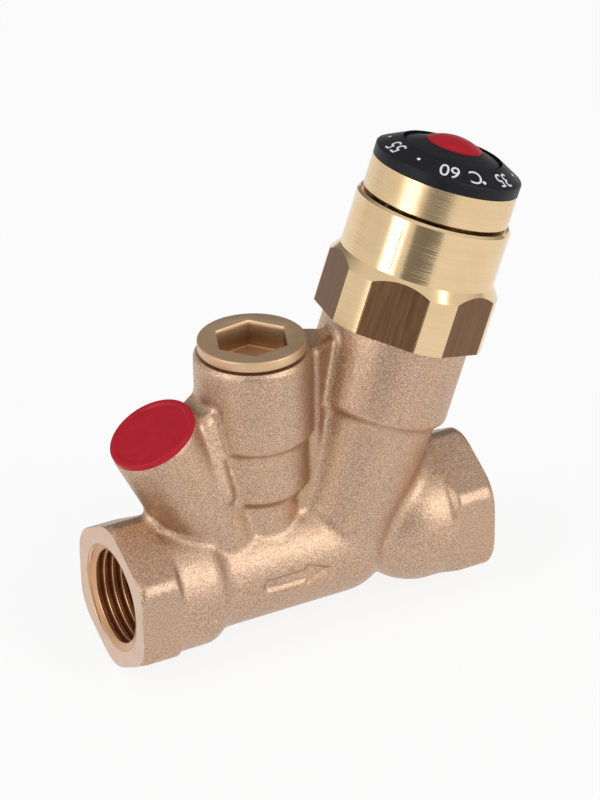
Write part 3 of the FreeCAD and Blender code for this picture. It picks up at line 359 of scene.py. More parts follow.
def key_brass(colour, dark, line_scale, roughness):
    shader, spot, base, gloss, normal = turned_brass(
        "key_brass", NECK, colour, dark, line_scale, roughness
    )
    radius, along, _ = about(spot, NECK)
    deep = rise(along, KEY_TOP - 1.0, KEY_TOP - 0.35, 1.0, 0.0)
    above = rise(along, SOCKET_FLOOR + 0.05, SOCKET_FLOOR + 0.25)
    walls = deep * above * rise(radius, SOCKET_REACH - 0.1, SOCKET_REACH, 1.0, 0.0)
    # Dark brown for the socket walls: real patina, and painted shade deep in the recess.
    patina_and_shade = tint(noise(spot, 0.5), (0.24, 0.135, 0.068, 1), (0.36, 0.225, 0.125, 1))
    darkened = tint(walls, base, patina_and_shade)
    feed(shader, base_color=darkened, metallic=1.0, roughness=gloss, normal=normal)


key_brass((0.84, 0.60, 0.38, 1), (0.44, 0.28, 0.16, 1), line_scale=1.9, roughness=0.4)
print("key_brass", len(FINISHES["key_brass"].node_tree.nodes), "nodes")

# %% [markdown]
# ## Plastics, seals and the metals inside
# Plug and dome are red moulded plastic with a soft gloss, the dial parts are black and dark grey.
# A moulded skin is never quite even, so each has a fine texture in its bump and a slow drift in
# its gloss. The pieces inside the valve get simple finishes of their own kind.

# %% Plastics and inner metals


def moulded(name, colour, shade, roughness):
    shader, spot = start_finish(name)
    texture = noise(spot, 7.0)
    drift = noise(spot, 0.35)
    feed(
        shader,
        base_color=tint(rise(drift, 0.3, 0.7), colour, shade),
        roughness=roughness + drift * 0.12,
        specular_ior_level=0.2,
        normal=bump(texture, 0.12, 0.05),
    )


def plain_metal(name, colour, shade, roughness):
    shader, spot = start_finish(name)
    wear = noise(spot, 0.8, 3.0)
    feed(
        shader,
        base_color=tint(rise(wear, 0.35, 0.65), colour, shade),
        metallic=1.0,
        roughness=roughness + wear * 0.1,
        normal=bump(noise(spot, 4.0), 0.08, 0.05),
    )


PLASTICS = {
    "red_plastic": ((0.42, 0.008, 0.020, 1), (0.38, 0.006, 0.017, 1), 0.36),
    "black_plastic": ((0.006, 0.005, 0.007, 1), (0.009, 0.008, 0.010, 1), 0.38),
    "grey_plastic": ((0.012, 0.011, 0.015, 1), (0.009, 0.008, 0.012, 1), 0.42),
    "white_ink": ((0.74, 0.75, 0.80, 1), (0.66, 0.67, 0.73, 1), 0.55),
    "seat_plastic": ((0.80, 0.79, 0.75, 1), (0.72, 0.71, 0.68, 1), 0.45),
    "seal_rubber": ((0.010, 0.010, 0.010, 1), (0.02, 0.02, 0.02, 1), 0.65),
}
METALS = {
    # The scribed line's dark brown is painted shade, in place of the shade inside its groove.
    "scribed_line": ((0.22, 0.15, 0.09, 1), (0.55, 0.40, 0.24, 1), 0.45),
    "inner_brass": ((0.80, 0.58, 0.30, 1), (0.66, 0.45, 0.22, 1), 0.30),
    "chrome_ball": ((0.72, 0.72, 0.73, 1), (0.62, 0.62, 0.64, 1), 0.10),
    "stainless": ((0.60, 0.59, 0.57, 1), (0.50, 0.49, 0.48, 1), 0.28),
    "copper": ((0.80, 0.42, 0.28, 1), (0.62, 0.30, 0.19, 1), 0.30),
}
for name, (colour, shade, roughness) in PLASTICS.items():
    moulded(name, colour, shade, roughness)
for name, (colour, shade, roughness) in METALS.items():
    plain_metal(name, colour, shade, roughness)
print(len(FINISHES), "finishes")

# %% [markdown]
# ## Dressing the CAD nodes
# A CAD node whose shape is right stays as it is and only gets its finish. The record already says
# which material slot each node uses, and most finishes have their slot's name. Only the slots with
# a finish of another name, and the turned pieces seen outside, are listed.

# %% Finish for each node
SLOT_FINISH = {"turned_brass": "inner_brass", "copper_capsule": "copper"}
SEEN = {"bonnet": "bonnet_brass", "setting_knob": "knob_brass"}
node_slots = {part["node"]: part["material_slot"] for part in frame["record"]["subparts"]}
for name, node in frame["nodes"].items():
    slot = node_slots[name]
    finish = SEEN.get(name) or SLOT_FINISH.get(slot, slot)
    node.data.materials.clear()
    node.data.materials.append(FINISHES[finish])
print("dressed", len(frame["nodes"]), "nodes")

# %% [markdown]
# ## Working in edit mode by code
# Blender's operators act on what is selected, so each step needs a clear selection. These helpers
# make an object the only active one, choose faces or points by a rule about their place, and copy a
# CAD node's mesh, whose triangles are loose, as one merged piece. Where the copy's shape will
# change, the normals that came with the CAD mesh are dropped.

# %% Helpers to select and copy
WELD = 0.001 * MM


def take(item):
    bpy.ops.object.select_all(action="DESELECT")
    item.select_set(True)
    bpy.context.view_layer.objects.active = item


def edit_all(item):
    """In edit mode, selects all of a piece."""
    take(item)
    bpy.ops.object.mode_set(mode="EDIT")
    bpy.ops.mesh.select_all(action="SELECT")


def choose(item, rule, kind="FACE"):
    """In edit mode, selects the faces, edges or points for which the rule holds."""
    bpy.ops.object.mode_set(mode="EDIT")
    bpy.ops.mesh.select_mode(type=kind)
    bpy.ops.mesh.select_all(action="DESELECT")
    bpy.ops.object.mode_set(mode="OBJECT")
    elements = {"FACE": item.data.polygons, "EDGE": item.data.edges, "VERT": item.data.vertices}
    for element in elements[kind]:
        element.select = rule(element)
    bpy.ops.object.mode_set(mode="EDIT")


def ends(item, edge):
    """The two end points of an edge."""
    return [item.data.vertices[number].co for number in edge.vertices]


def copy_of(node, name, drop_normals=False):
    """A copy of a CAD node's mesh with its triangles merged, in edit mode and all selected."""
    item = bpy.data.objects.new(name, frame["nodes"][node].data.copy())
    bpy.context.scene.collection.objects.link(item)
    take(item)
    if drop_normals:
        bpy.ops.mesh.customdata_custom_splitnormals_clear()
    edit_all(item)
    bpy.ops.mesh.remove_doubles(threshold=WELD)
    bpy.ops.mesh.select_all(action="SELECT")
    return item


# %% [markdown]
# Modifiers are applied as soon as they are set, so each step leaves a plain mesh for the next one.
# A piece is made upright at the origin or as a block, then put in its place, and handed at last to
# the body that carries it, with its finish.

# %% Helpers to shape and hand over


def modify(item, kind, **settings):
    take(item)
    modifier = item.modifiers.new(kind.lower(), kind)
    for key, value in settings.items():
        setattr(modifier, key, value)
    bpy.ops.object.modifier_apply(modifier=modifier.name)


def put(item, place):
    """Moves a piece made upright at the origin to its place, and keeps that place in its mesh."""
    item.matrix_world = place @ item.matrix_world
    take(item)
    bpy.ops.object.transform_apply(location=True, rotation=True, scale=True)


def box(size, centre, turn=0.0):
    """A block of a given size at a given place, turned about the upright."""
    bpy.ops.mesh.primitive_cube_add(size=1)
    item = bpy.context.object
    item.scale = size
    item.rotation_euler = (0, 0, turn)
    item.location = centre
    bpy.ops.object.transform_apply(location=True, rotation=True, scale=True)
    return item


def combine(item, tool, operation="DIFFERENCE", solver="MANIFOLD"):
    """Cuts a tool out of a piece, or joins or intersects the two, and removes the tool."""
    modify(item, "BOOLEAN", object=tool, operation=operation, solver=solver)
    bpy.data.objects.remove(tool)


def hand_over(item, body, finish):
    if finish:
        item.data.materials.clear()
        item.data.materials.append(FINISHES[finish])
    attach(item, body)
    print(item.name, len(item.data.polygons), "faces")


# %% [markdown]
# ## The cast skin
# The CAD casting is exact, but its edges are sharper than sand can give. The real one is rounded
# everywhere except where a tool has faced it. So the copy goes the way the real piece went: the
# faced planes and the bores come off first, which leaves the raw outside and, apart from it, the
# inside. The inside, closed at its mouths, is the core that later leaves the waterways.

# %% Split the casting into skin and core
FACE_SLACK = 0.004 * MM
SAME_WAY = 0.999
MACHINING = 2.0 * MM
RIM_REACH = 18 * MM
NECK_TOP, BOSS_FACE, BRANCH_FACE = 45.6 * MM, 36.55 * MM, 45.68 * MM
FACED = [
    (Vector((-1, 0, 0)), Vector((0, 0, 0))),
    (Vector((1, 0, 0)), Vector((LENGTH, 0, 0))),
    (NECK.col[2].xyz, up_axis(NECK, NECK_TOP)),
    (BOSS.col[2].xyz, up_axis(BOSS, BOSS_FACE)),
    (HEAD.col[2].xyz, up_axis(HEAD, BRANCH_FACE)),
]
skin = copy_of("valve_body", "cast_body", drop_normals=True)


def on_faced_plane(polygon):
    return any(
        polygon.normal.dot(normal) > SAME_WAY
        and abs(normal.dot(polygon.center - point)) < FACE_SLACK
        for normal, point in FACED
    )


choose(skin, on_faced_plane)
bpy.ops.mesh.delete(type="FACE")
bpy.ops.mesh.select_all(action="SELECT")
bpy.ops.mesh.separate(type="LOOSE")
bpy.ops.object.mode_set(mode="OBJECT")
shells = sorted(bpy.context.selected_objects, key=lambda shell: shell.dimensions.length)
skin = shells.pop()
take(shells[-1])
for shell in shells:
    shell.select_set(True)
if len(shells) > 1:
    bpy.ops.object.join()
core = bpy.context.object
print("skin", [round(v / MM, 1) for v in skin.dimensions], "core from", len(shells), "shells")

# %% [markdown]
# Both shells are open where the faced planes were. Each rim is carried straight out past its plane
# and closed there. So the skin has some metal to spare, which the cutters take off later, and the
# core is long enough to come out through every mouth.

# %% Close the mouths


def close_mouths(item):
    """Carries each open rim straight out past its faced plane and closes it."""
    take(item)
    for normal, point in FACED:

        def on_rim(vertex):
            away = vertex.co - point
            return away.length < RIM_REACH and abs(normal.dot(away)) < FACE_SLACK

        choose(item, on_rim, "VERT")
        bpy.ops.mesh.extrude_region_move(TRANSFORM_OT_translate={"value": normal * MACHINING})
        bpy.ops.mesh.edge_face_add()
    bpy.ops.mesh.select_all(action="SELECT")
    bpy.ops.mesh.normals_make_consistent(inside=False)
    bpy.ops.object.mode_set(mode="OBJECT")


for shell in (skin, core):
    close_mouths(shell)
    print(shell.name, len(shell.data.polygons), "faces, closed")

# %% [markdown]
# ## The web beside the boss
# Between the sensor boss and the neck the mould left a full, rounded strip. It is a ball whose
# upper half is drawn out to the strip's length, laid into the valley and joined to the skin.

# %% Fill the valley beside the boss
STRIP_R = 2.4 * MM
STRIP_LOW, STRIP_TOP = Vector((21.5, -6.4, 19.8)) * MM, Vector((19.8, -3.1, 34.0)) * MM
strip_run = STRIP_TOP - STRIP_LOW
bpy.ops.mesh.primitive_uv_sphere_add(segments=32, ring_count=16, radius=STRIP_R)
strip = bpy.context.object
choose(strip, lambda vertex: vertex.co.z > FACE_SLACK, "VERT")
bpy.ops.transform.translate(value=(0, 0, strip_run.length))
bpy.ops.object.mode_set(mode="OBJECT")
strip_turn = strip_run.to_track_quat("Z", "Y").to_matrix().to_4x4()
put(strip, Matrix.Translation(STRIP_LOW) @ strip_turn)
combine(skin, strip, "UNION")
print("skin with strip", len(skin.data.polygons), "faces")

# %% [markdown]
# ## Soft valleys and eased edges
# Molten metal leaves no sharp inner corner. Growing the skin by a set distance, welding it with a
# voxel remesh and shrinking it back fills every valley with a fillet of that radius and leaves the
# outer edges alone. The voxels are finer than the shape needs, so that edges come out clean.

# %% Round the skin
VALLEY = 0.8 * MM
VOXEL = 0.33 * MM
modify(skin, "REMESH", mode="VOXEL", voxel_size=VOXEL)
modify(skin, "DISPLACE", strength=VALLEY, mid_level=0.0)
modify(skin, "REMESH", mode="VOXEL", voxel_size=VOXEL)
modify(skin, "SMOOTH", factor=0.5, iterations=2)
modify(skin, "DISPLACE", strength=-VALLEY, mid_level=0.0)
modify(skin, "REMESH", mode="VOXEL", voxel_size=VOXEL)
print("rounded skin", len(skin.data.polygons), "faces")

# %% [markdown]
# ## The flow arrow and the pattern mark
# An arrow on the front of the tube shows which way the water goes, and a short dash marks the
# outlet. The arrow's cutter is a block whose end is widened and then drawn out to a point. Both
# marks come from the pattern, not from a tool, so they are cut before one last remesh and a little
# smoothing, which ease them and every outer edge as sand does.

# %% Sink the arrow and the dash
ARROW_TAIL, ARROW_SHOULDER, ARROW_TIP = 27.3 * MM, 36.5 * MM, 42.3 * MM
ARROW_HALF, ARROW_HEAD_HALF = 1.3 * MM, 2.55 * MM
ARROW_FLOOR, ARROW_OUT = -11.2 * MM, -14.0 * MM
ARROW_POINT_SHARE = 0.04
ARROW_TAIL_ROUND, ARROW_EASE = 0.9 * ARROW_HALF, 0.5 * MM


def end_face(polygon):
    return polygon.normal.x > SAME_WAY


def tail_corner(edge):
    first, second = ends(arrow, edge)
    return max(first.x, second.x) < ARROW_TAIL + FACE_SLACK and abs(first.y - second.y) > MM


arrow = box(
    (ARROW_SHOULDER - ARROW_TAIL, ARROW_FLOOR - ARROW_OUT, 2 * ARROW_HALF),
    ((ARROW_SHOULDER + ARROW_TAIL) / 2, (ARROW_FLOOR + ARROW_OUT) / 2, 0),
)
choose(arrow, tail_corner, "EDGE")
bpy.ops.mesh.bevel(offset=ARROW_TAIL_ROUND, segments=6)
choose(arrow, end_face)
bpy.ops.mesh.extrude_region_move(TRANSFORM_OT_translate={"value": (0, 0, 0)})
bpy.ops.transform.resize(value=(1, 1, ARROW_HEAD_HALF / ARROW_HALF))
bpy.ops.mesh.extrude_region_move(
    TRANSFORM_OT_translate={"value": (ARROW_TIP - ARROW_SHOULDER, 0, 0)}
)
bpy.ops.transform.resize(value=(1, 1, ARROW_POINT_SHARE))
bpy.ops.object.mode_set(mode="OBJECT")
modify(arrow, "BEVEL", width=ARROW_EASE, segments=4, limit_method="ANGLE")
combine(skin, arrow)

DASH_START, DASH_END = Vector((59.7, -12.0, 0.2)) * MM, Vector((63.6, -13.4, 0.0)) * MM
DASH_DEEP, DASH_WIDE = 1.2 * MM, 0.7 * MM
DASH_OUT = Vector((0, -0.45, 0)) * MM
DASH_EASE = 0.3 * MM
dash_run = DASH_END - DASH_START
dash = box(
    (dash_run.length, DASH_DEEP, DASH_WIDE),
    (DASH_START + DASH_END) / 2 + DASH_OUT,
    math.atan2(dash_run.y, dash_run.x),
)
modify(dash, "BEVEL", width=DASH_EASE, segments=3)
combine(skin, dash)
modify(skin, "REMESH", mode="VOXEL", voxel_size=VOXEL)
modify(skin, "SMOOTH", factor=0.5, iterations=2)
print("marked skin", len(skin.data.polygons), "faces")

# %% [markdown]
# ## Machining the casting
# Now the skin is machined as the real one was: short cutters face the two pipe ends and the tops of
# the neck, the boss and the head branch, and the core is taken out, which leaves exactly the bores
# that the CAD model has.

# %% Face the ends and bore the waterways
CUTTER_R = (18.5, 18.5, 12.6, 10.4, 16.5)
CUTTER_TALL = 2 * MACHINING
for (normal, point), cutter_r in zip(FACED, CUTTER_R):
    bpy.ops.mesh.primitive_cylinder_add(vertices=96, radius=cutter_r * MM, depth=CUTTER_TALL)
    cutter = bpy.context.object
    put(cutter, place_on(normal, point + normal * CUTTER_TALL / 2))
    combine(skin, cutter)
combine(skin, core)
print("machined skin", len(skin.data.polygons), "faces")

# %% [markdown]
# The voxels left far more faces than the flat and the gently curved places need. A decimation thins
# them out where nothing is lost. Then the faced ends and the bores get the finish of cut metal.

# %% Thin the skin and finish its cut faces
SKIN_SHARE = 0.42
PORT_REACH, PORT_DEEP = 11.3 * MM, 16 * MM
modify(skin, "DECIMATE", ratio=SKIN_SHARE)


def faced_or_bored(polygon):
    centre = polygon.center
    in_port = math.hypot(centre.y, centre.z) < PORT_REACH
    near_end = centre.x < PORT_DEEP or centre.x > LENGTH - PORT_DEEP
    return on_faced_plane(polygon) or (in_port and near_end)


skin.data.materials.clear()
skin.data.materials.append(FINISHES["cast_gunmetal"])
skin.data.materials.append(FINISHES["faced_gunmetal"])
take(skin)
choose(skin, faced_or_bored)
skin.active_material_index = 1
bpy.ops.object.material_slot_assign()
bpy.ops.object.mode_set(mode="OBJECT")
bpy.ops.object.shade_smooth_by_angle(angle=math.radians(40))
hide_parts("valve_body")
skin.name = "cast_body"
hand_over(skin, "casting", None)

# %% [markdown]
# ## Pipe threads
# Both ports have a parallel pipe thread. A thread is one small profile carried round the axis
# while it climbs by one pitch a turn, which is what the Screw modifier does. It starts in front of
# the port. The tool that chamfers the mouth cuts the first crests away, so points that reach inside
# its cone, or out of the port, move just under the chamfer, and the thread runs out of it softly.

# %% Cut the threads
ROOT_R = 10.52 * MM
CREST_R = 9.32 * MM
MIDDLE_R = (ROOT_R + CREST_R) / 2
CREST_ROUND = 0.14 * MM
PITCH = 1.814 * MM
ROOT_WIDTH, CREST_SHARE = 0.94 * PITCH, 0.26
THREAD_TURNS = 8
THREAD_START = -0.5 * PITCH
MOUTH_R = 10.95 * MM
MOUTH_SLOPE = 2.8
UNDER_CHAMFER = 0.03 * MM
THREAD_STEPS = 96


def thread(name, place):
    bpy.ops.mesh.primitive_plane_add(size=1)
    item = bpy.context.object
    item.name = name
    item.scale = (ROOT_R - CREST_R, ROOT_WIDTH, 1)
    item.rotation_euler = (math.pi / 2, 0, 0)
    item.location = (MIDDLE_R, 0, 0)
    bpy.ops.object.transform_apply(location=True, rotation=True, scale=True)
    choose(item, lambda vertex: vertex.co.x < MIDDLE_R, "VERT")
    bpy.ops.transform.resize(value=(1, 1, CREST_SHARE))
    bpy.ops.mesh.bevel(offset=CREST_ROUND, segments=3, affect="VERTICES")
    bpy.ops.mesh.select_all(action="SELECT")
    bpy.ops.mesh.delete(type="ONLY_FACE")
    bpy.ops.object.mode_set(mode="OBJECT")
    modify(
        item,
        "SCREW",
        axis="Z",
        screw_offset=PITCH,
        iterations=THREAD_TURNS,
        steps=THREAD_STEPS,
        render_steps=THREAD_STEPS,
    )
    edit_all(item)
    bpy.ops.mesh.fill_holes(sides=0)
    bpy.ops.mesh.normals_make_consistent(inside=False)
    bpy.ops.object.mode_set(mode="OBJECT")
    for vertex in item.data.vertices:
        depth = max(vertex.co.z + THREAD_START, UNDER_CHAMFER)
        radius = math.hypot(vertex.co.x, vertex.co.y)
        widened = max(1, (MOUTH_R - MOUTH_SLOPE * depth + UNDER_CHAMFER) / radius)
        vertex.co = (vertex.co.x * widened, vertex.co.y * widened, depth)
    put(item, place)
    bpy.ops.object.shade_smooth_by_angle(angle=math.radians(35))
    hand_over(item, "casting", "thread_brass")


thread("inlet_pipe_thread", FLOW)
thread("outlet_pipe_thread", place_on((-1, 0, 0), (LENGTH, 0, 0)))

# %% [markdown]
# ## The key head
# Bright lines run along the rims of the key head and its socket, where the edges were broken. A
# copy of the CAD piece is cleaned to plain faces, and its rims get a narrow bevel.

# %% Break the edges of the key head
KEY_RIM_R = 10.3 * MM
KEY_FOOT = 46.05 * MM
KEY_EASE = 0.28 * MM
key = copy_of("key_head", "eased_key_head", drop_normals=True)
bpy.ops.mesh.dissolve_limited(angle_limit=math.radians(0.5))


def key_rim(edge):
    """The rims of the head's top and foot, and that of the socket."""
    points = ends(key, edge)
    out = [math.hypot(point.x - NECK.translation.x, point.y) for point in points]
    top = all(abs(point.z - KEY_TOP * MM) < FACE_SLACK for point in points)
    foot = all(abs(point.z - KEY_FOOT) < FACE_SLACK for point in points)
    return ((top or foot) and min(out) > KEY_RIM_R) or (top and max(out) < SOCKET_REACH * MM)


choose(key, key_rim, "EDGE")
bpy.ops.mesh.bevel(offset=KEY_EASE, segments=2)
bpy.ops.object.mode_set(mode="OBJECT")
bpy.ops.object.shade_smooth_by_angle(angle=math.radians(30))
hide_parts("key_head")
hand_over(key, "shutoff", "key_brass")

# %% [markdown]
# ## The return spring
# The spring inside the head stands on the seat and pushes the element up. Turning the knob and
# warming the element both shorten it. Here it is only cut in two across the head's axis, into a
# foot part and a head part.

# %% Cut the spring in two
SPRING_FOOT, SPRING_CUT, SPRING_HEAD = 11.7 * MM, 16.9 * MM, 26.4 * MM


def up_the_head(distance):
    return up_axis(HEAD, distance)


def spring_part(name, cleared):
    part = copy_of("return_spring", name)
    cut = {"plane_co": up_the_head(SPRING_CUT), "plane_no": HEAD.col[2].xyz, cleared: True}
    bpy.ops.mesh.bisect(use_fill=True, **cut)
    bpy.ops.object.mode_set(mode="OBJECT")
    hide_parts("return_spring")
    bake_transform(part)
    print(name, len(part.data.polygons), "faces")


spring_part("spring_foot", "clear_outer")
spring_part("spring_head", "clear_inner")

# %% [markdown]
# ## The dial
# The scale ring carries white numbers from 35 to 60 degrees with a dot between each pair, read
# from the far side, so their tops point to the rim. Printed figures follow the ring's cone. Each
# text is made a solid, stood on the cone, and cut down to a thin shell just above the surface.

# %% Print the scale
CONE_LOW = Vector((14.55, 79.5)) * MM
CONE_HIGH = Vector((9.95, 82.0)) * MM
MARK_DEPTH = 0.6 * MM
FIRST, LAST, STEP = 35, 60, 5
ANGLE_AT_FIRST, ANGLE_PER_DEGREE = math.radians(-66.6), math.radians(12.116)
FIGURE_HEIGHT = 3.15 * MM
FIGURE_WIDTH = 0.92
FIGURE_R = 12.3 * MM
DOT_R = 0.36 * MM
UNIT_ANGLE, SIGN_ANGLE = math.radians(-99.5), math.radians(-92.2)
SIGN_AT_R, SIGN_R = 13.3 * MM, 1.15 * DOT_R
slope = (CONE_LOW - CONE_HIGH).normalized()
lift = Vector((-slope.y, slope.x))


def on_cone(angle, radius):
    """A place on the cone: X is the reading direction, Y points to the rim, Z stands up."""
    share = (radius - CONE_HIGH.x) / (CONE_LOW.x - CONE_HIGH.x)
    height = CONE_HIGH.y + share * (CONE_LOW.y - CONE_HIGH.y)
    out = Vector((math.cos(angle), math.sin(angle), 0))
    up = out * slope.x + Vector((0, 0, slope.y))
    stand = out * lift.x + Vector((0, 0, lift.y))
    turn = Matrix((up.cross(stand), up, stand)).transposed()
    return Matrix.Translation(out * radius + Vector((0, 0, height))) @ turn.to_4x4()


def figure(text, angle):
    bpy.ops.object.text_add()
    item = bpy.context.object
    item.data.body = text
    item.data.align_x = "CENTER"
    item.data.align_y = "CENTER"
    item.data.extrude = 0.5
    bpy.ops.object.convert(target="MESH")
    item = bpy.context.object
    tall = item.dimensions.y
    item.scale = (FIGURE_WIDTH * FIGURE_HEIGHT / tall, FIGURE_HEIGHT / tall, MARK_DEPTH)
    bpy.ops.object.transform_apply(location=True, rotation=True, scale=True)
    put(item, on_cone(angle, FIGURE_R))
    return item


def dot(angle, radius, size):
    bpy.ops.mesh.primitive_cylinder_add(vertices=24, radius=size, depth=MARK_DEPTH)
    item = bpy.context.object
    put(item, on_cone(angle, radius))
    return item


def dial_angle(degrees):
    return ANGLE_AT_FIRST + (degrees - FIRST) * ANGLE_PER_DEGREE


marks = [figure(str(degrees), dial_angle(degrees)) for degrees in range(FIRST, LAST + 1, STEP)]
for degrees in range(FIRST, LAST, STEP):
    marks.append(dot(dial_angle(degrees + STEP / 2), FIGURE_R, DOT_R))
marks.append(figure("C", UNIT_ANGLE))
marks.append(dot(SIGN_ANGLE, SIGN_AT_R, SIGN_R))
take(marks[0])
for mark in marks:
    mark.select_set(True)
bpy.ops.object.join()
figures = bpy.context.object
print(len(marks), "marks")

# %% [markdown]
# The shell that the marks are cut down to is a ring with a thin section. A circle is drawn from one
# corner of that section to the next, by extruding it and scaling each new circle to its radius.

# %% Cut the marks down to ink
INK_OVER, INK_UNDER = 0.03 * MM, 0.1 * MM
ring_corners = [
    CONE_HIGH - lift * INK_UNDER,
    CONE_LOW - lift * INK_UNDER,
    CONE_LOW + lift * INK_OVER,
    CONE_HIGH + lift * INK_OVER,
    CONE_HIGH - lift * INK_UNDER,
]
bpy.ops.mesh.primitive_circle_add(vertices=256, radius=CONE_HIGH.x)
shell = bpy.context.object
edit_all(shell)
bpy.ops.transform.translate(value=(0, 0, ring_corners[0].y))
ratio = ring_corners[0].x / CONE_HIGH.x
bpy.ops.transform.resize(value=(ratio, ratio, 1), center_override=(0, 0, ring_corners[0].y))
for here, there in zip(ring_corners, ring_corners[1:]):
    bpy.ops.mesh.extrude_region_move(
        TRANSFORM_OT_translate={"value": (0, 0, there.y - here.y)}
    )
    ratio = there.x / here.x
    bpy.ops.transform.resize(value=(ratio, ratio, 1), center_override=(0, 0, there.y))
bpy.ops.mesh.select_all(action="SELECT")
bpy.ops.mesh.remove_doubles(threshold=WELD)
bpy.ops.mesh.normals_make_consistent(inside=False)
bpy.ops.object.mode_set(mode="OBJECT")
combine(figures, shell, "INTERSECT", "EXACT")
put(figures, HEAD)
figures.name = "scale_figures"
hand_over(figures, "knob", "white_ink")

# %% [markdown]
# ## The index line
# A fine line scribed down the bonnet is what the scale is read against. A strip that narrow needs
# no curve of its own: it is sunk into the bonnet, stands out by a hair, and has eased edges. Its dark
# brown is painted shade, in place of the shade inside the scribed groove.

# %% Scribe the index
INDEX_ANGLE = math.radians(-143.5)
INDEX_LOW, INDEX_HIGH = 59.5 * MM, 68.4 * MM
INDEX_DEPTH, INDEX_WIDTH = 0.2 * MM, 0.17 * MM
INDEX_SUNK, INDEX_EASE = 0.085 * MM, 0.02 * MM
BONNET_R = 15.47 * MM
index = box(
    (INDEX_DEPTH, INDEX_WIDTH, INDEX_HIGH - INDEX_LOW),
    (BONNET_R - INDEX_SUNK, 0, (INDEX_HIGH + INDEX_LOW) / 2),
)
index.name = "index_line"
modify(index, "BEVEL", width=INDEX_EASE, segments=2)
put(index, HEAD @ Matrix.Rotation(INDEX_ANGLE, 4, "Z"))
# Its finish paints the strip dark brown: painted shade in place of the groove's shade.
hand_over(index, "casting", "scribed_line")

# %% [markdown]
# ## The camera
# The camera stands where the photographer stood: a little to the left, looking down. Its lens is
# given by the size of the valve in the frame, and its shift by where the lens axis meets the frame.

# %% Camera
CAMERA_AIM = Vector((43.45, 0, 23.7)) * MM
CAMERA_FAR = 642.7 * MM
CAMERA_AZIMUTH = math.radians(-28.27)
CAMERA_HEIGHT = math.radians(29.11)
CAMERA_ROLL = math.radians(-0.94)
FRAME_WIDE_PX, FRAME_TALL_PX, SENSOR = 600, 800, 36
FOCAL_PX = 3294.2
AXIS_ACROSS_PX, AXIS_DOWN_PX = 306.84, 435.17

back = Vector(
    (
        math.sin(CAMERA_AZIMUTH) * math.cos(CAMERA_HEIGHT),
        -math.cos(CAMERA_AZIMUTH) * math.cos(CAMERA_HEIGHT),
        math.sin(CAMERA_HEIGHT),
    )
)
level = Vector((math.cos(CAMERA_AZIMUTH), math.sin(CAMERA_AZIMUTH), 0))
steep = back.cross(level)
right = level * math.cos(CAMERA_ROLL) + steep * math.sin(CAMERA_ROLL)
up = steep * math.cos(CAMERA_ROLL) - level * math.sin(CAMERA_ROLL)
bpy.ops.object.camera_add()
camera = bpy.context.object
camera.matrix_world = Matrix.Translation(CAMERA_AIM + back * CAMERA_FAR) @ (
    Matrix((right, up, back)).transposed().to_4x4()
)
camera.data.lens = FOCAL_PX * SENSOR / FRAME_TALL_PX
camera.data.sensor_width = SENSOR
camera.data.shift_x = (FRAME_WIDE_PX / 2 - AXIS_ACROSS_PX) / FRAME_TALL_PX
camera.data.shift_y = (AXIS_DOWN_PX - FRAME_TALL_PX / 2) / FRAME_TALL_PX
bpy.context.scene.camera = camera
print("camera at", [round(v, 3) for v in camera.matrix_world.translation])

# %% [markdown]
# ## The studio
# Polished metal shows the room more than its own colour, so the room is built with care: a tall
# soft box on the left of the camera draws the bright stripe down the brass, and a second one on the
# right lights the edges that face up and to the front. Between them a grey card stands low in front
# of the valve and gives the brass the dark band that makes it look like metal.

# %% Soft boxes
UPWARDS = Vector((0, 0, 1))
FRONT = level.cross(UPWARDS)
FLOOR = cad_low.z - 0.05 * MM


def seen_from_valve(turn, height):
    """The direction, in degrees, to the right of the camera's and above the floor."""
    turn, height = math.radians(turn), math.radians(height)
    flat = FRONT * math.cos(turn) + level * math.sin(turn)
    return flat * math.cos(height) + UPWARDS * math.sin(height)


def facing(direction):
    """The turn that points a lamp's back, or a card's face, in a direction."""
    return direction.to_track_quat("Z", "Y").to_matrix().to_4x4()


def soft_box(name, direction, distance, width, tall, brightness):
    """An area lamp that faces the valve and is as bright to look at as the number says."""
    bpy.ops.object.light_add(type="AREA")
    lamp = bpy.context.object
    lamp.name = name
    lamp.data.shape = "RECTANGLE"
    lamp.data.size = width
    lamp.data.size_y = tall
    lamp.data.energy = brightness * math.pi * width * tall
    stand = Matrix.Translation(CAMERA_AIM + direction * distance)
    lamp.matrix_world = stand @ facing(direction)
    lamp.visible_camera = False
    print(name, round(lamp.data.energy, 2), "W")


left = seen_from_valve(turn=-48, height=25)
right_front = seen_from_valve(turn=56, height=24)
soft_box("left_lamp", left, distance=0.80, width=0.34, tall=0.66, brightness=2.6)
soft_box("right_lamp", right_front, distance=0.90, width=0.42, tall=0.50, brightness=3.4)

# %% [markdown]
# The card is a plain sheet that only the valve sees: the camera looks past it, and the metal shows
# it as the dark band.

# %% Grey card
CARD_TURN, CARD_AWAY = -4, 0.42
CARD_WIDTH, CARD_TALL = 0.31, 0.24
CARD_GREYS = (0.34, 0.34, 0.34, 1), (0.38, 0.38, 0.38, 1)
card_way = seen_from_valve(CARD_TURN, 0)
card_at = CAMERA_AIM + card_way * CARD_AWAY
card_at.z = FLOOR + CARD_TALL / 2
bpy.ops.mesh.primitive_plane_add(size=1)
card = bpy.context.object
card.name = "grey_card"
card.matrix_world = (
    Matrix.Translation(card_at)
    @ facing(card_way)
    @ Matrix.Diagonal((CARD_WIDTH, CARD_TALL, 1, 1))
)
card.visible_camera = False
card_shader, card_spot = start_finish("grey_card")
feed(card_shader, base_color=tint(noise(card_spot, 0.05), *CARD_GREYS), roughness=0.9)
card.data.materials.append(FINISHES["grey_card"])
print("grey card at", [round(v, 3) for v in card_at])

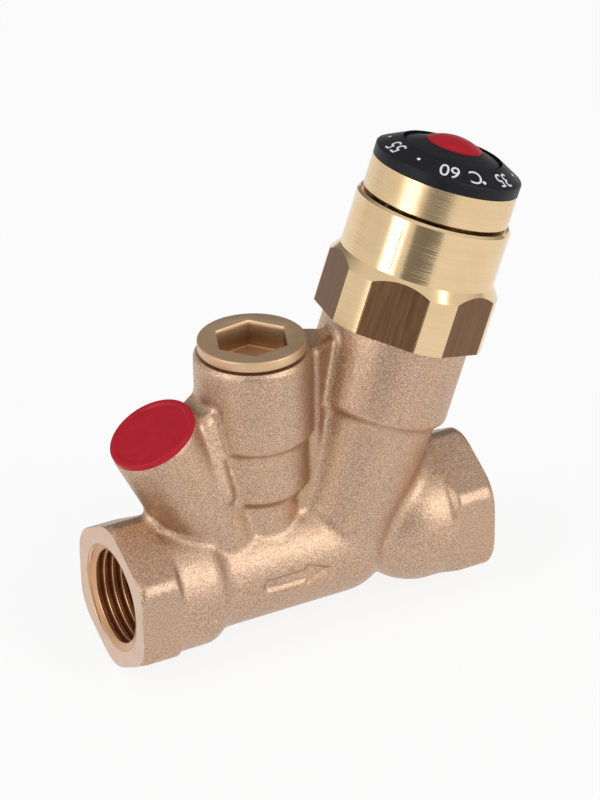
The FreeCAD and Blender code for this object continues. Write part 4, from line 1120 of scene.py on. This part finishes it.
# %% [markdown]
# The floor is white to the eye and in the metal's reflections, and still takes a soft shadow: a
# part of it glows for the rays that look at it, and the rest is lit like any pale surface.

# %% Floor
FLOOR_GLOW = 0.86
FLOOR_SIZE = 8
FLOOR_GREYS = (0.88, 0.88, 0.88, 1), (0.90, 0.90, 0.90, 1)
bpy.ops.mesh.primitive_plane_add(size=FLOOR_SIZE, location=(CAMERA_AIM.x, 0, FLOOR))
floor = bpy.context.object
floor.name = "floor"
floor_shader, floor_spot = start_finish("pale_floor")
floor_finish = FINISHES["pale_floor"]
feed(floor_shader, base_color=tint(noise(floor_spot, 0.01), *FLOOR_GREYS), roughness=0.9)
looks = [
    floor_spot.node("ShaderNodeLightPath", out=f"Is {kind} Ray")
    for kind in ("Camera", "Glossy", "Transmission")
]
glow = floor_spot.node("ShaderNodeEmission", {}, {"Color": (1, 1, 1, 1), "Strength": 1.0})
lit = Wire(floor_finish.node_tree, floor_shader.outputs[0])
share = (looks[0] + looks[1] + looks[2]) * FLOOR_GLOW
surface = floor_spot.node("ShaderNodeMixShader", {}, {0: share, 1: lit, 2: glow})
floor_output = floor_finish.node_tree.nodes["Material Output"]
floor_finish.node_tree.links.new(surface.socket, floor_output.inputs["Surface"])
floor.data.materials.append(floor_finish)
print("floor at", round(FLOOR / MM, 2), "mm")

# %% [markdown]
# The room is a pale glow in front. Behind the valve it is dim, as beyond the lamps of a studio,
# which keeps the upper faces dark.

# %% Room
ROOM_DIM, ROOM_BRIGHT = 0.28, 0.85
BACK_END, BACK_START = -0.8, -0.05
world = bpy.data.worlds.new("studio")
bpy.context.scene.world = world
world.use_nodes = True
tree = world.node_tree
way = Wire(tree, tree.nodes.new("ShaderNodeTexCoord").outputs["Generated"])
room = rise(dot_product(way, tuple(FRONT)), BACK_END, BACK_START, ROOM_DIM, ROOM_BRIGHT)
tree.links.new(room.socket, tree.nodes["Background"].inputs["Strength"])
tree.nodes["Background"].inputs["Color"].default_value = (1, 1, 1, 1)
bpy.context.scene.view_settings.view_transform = "Standard"
print("room from", ROOM_DIM, "to", ROOM_BRIGHT)
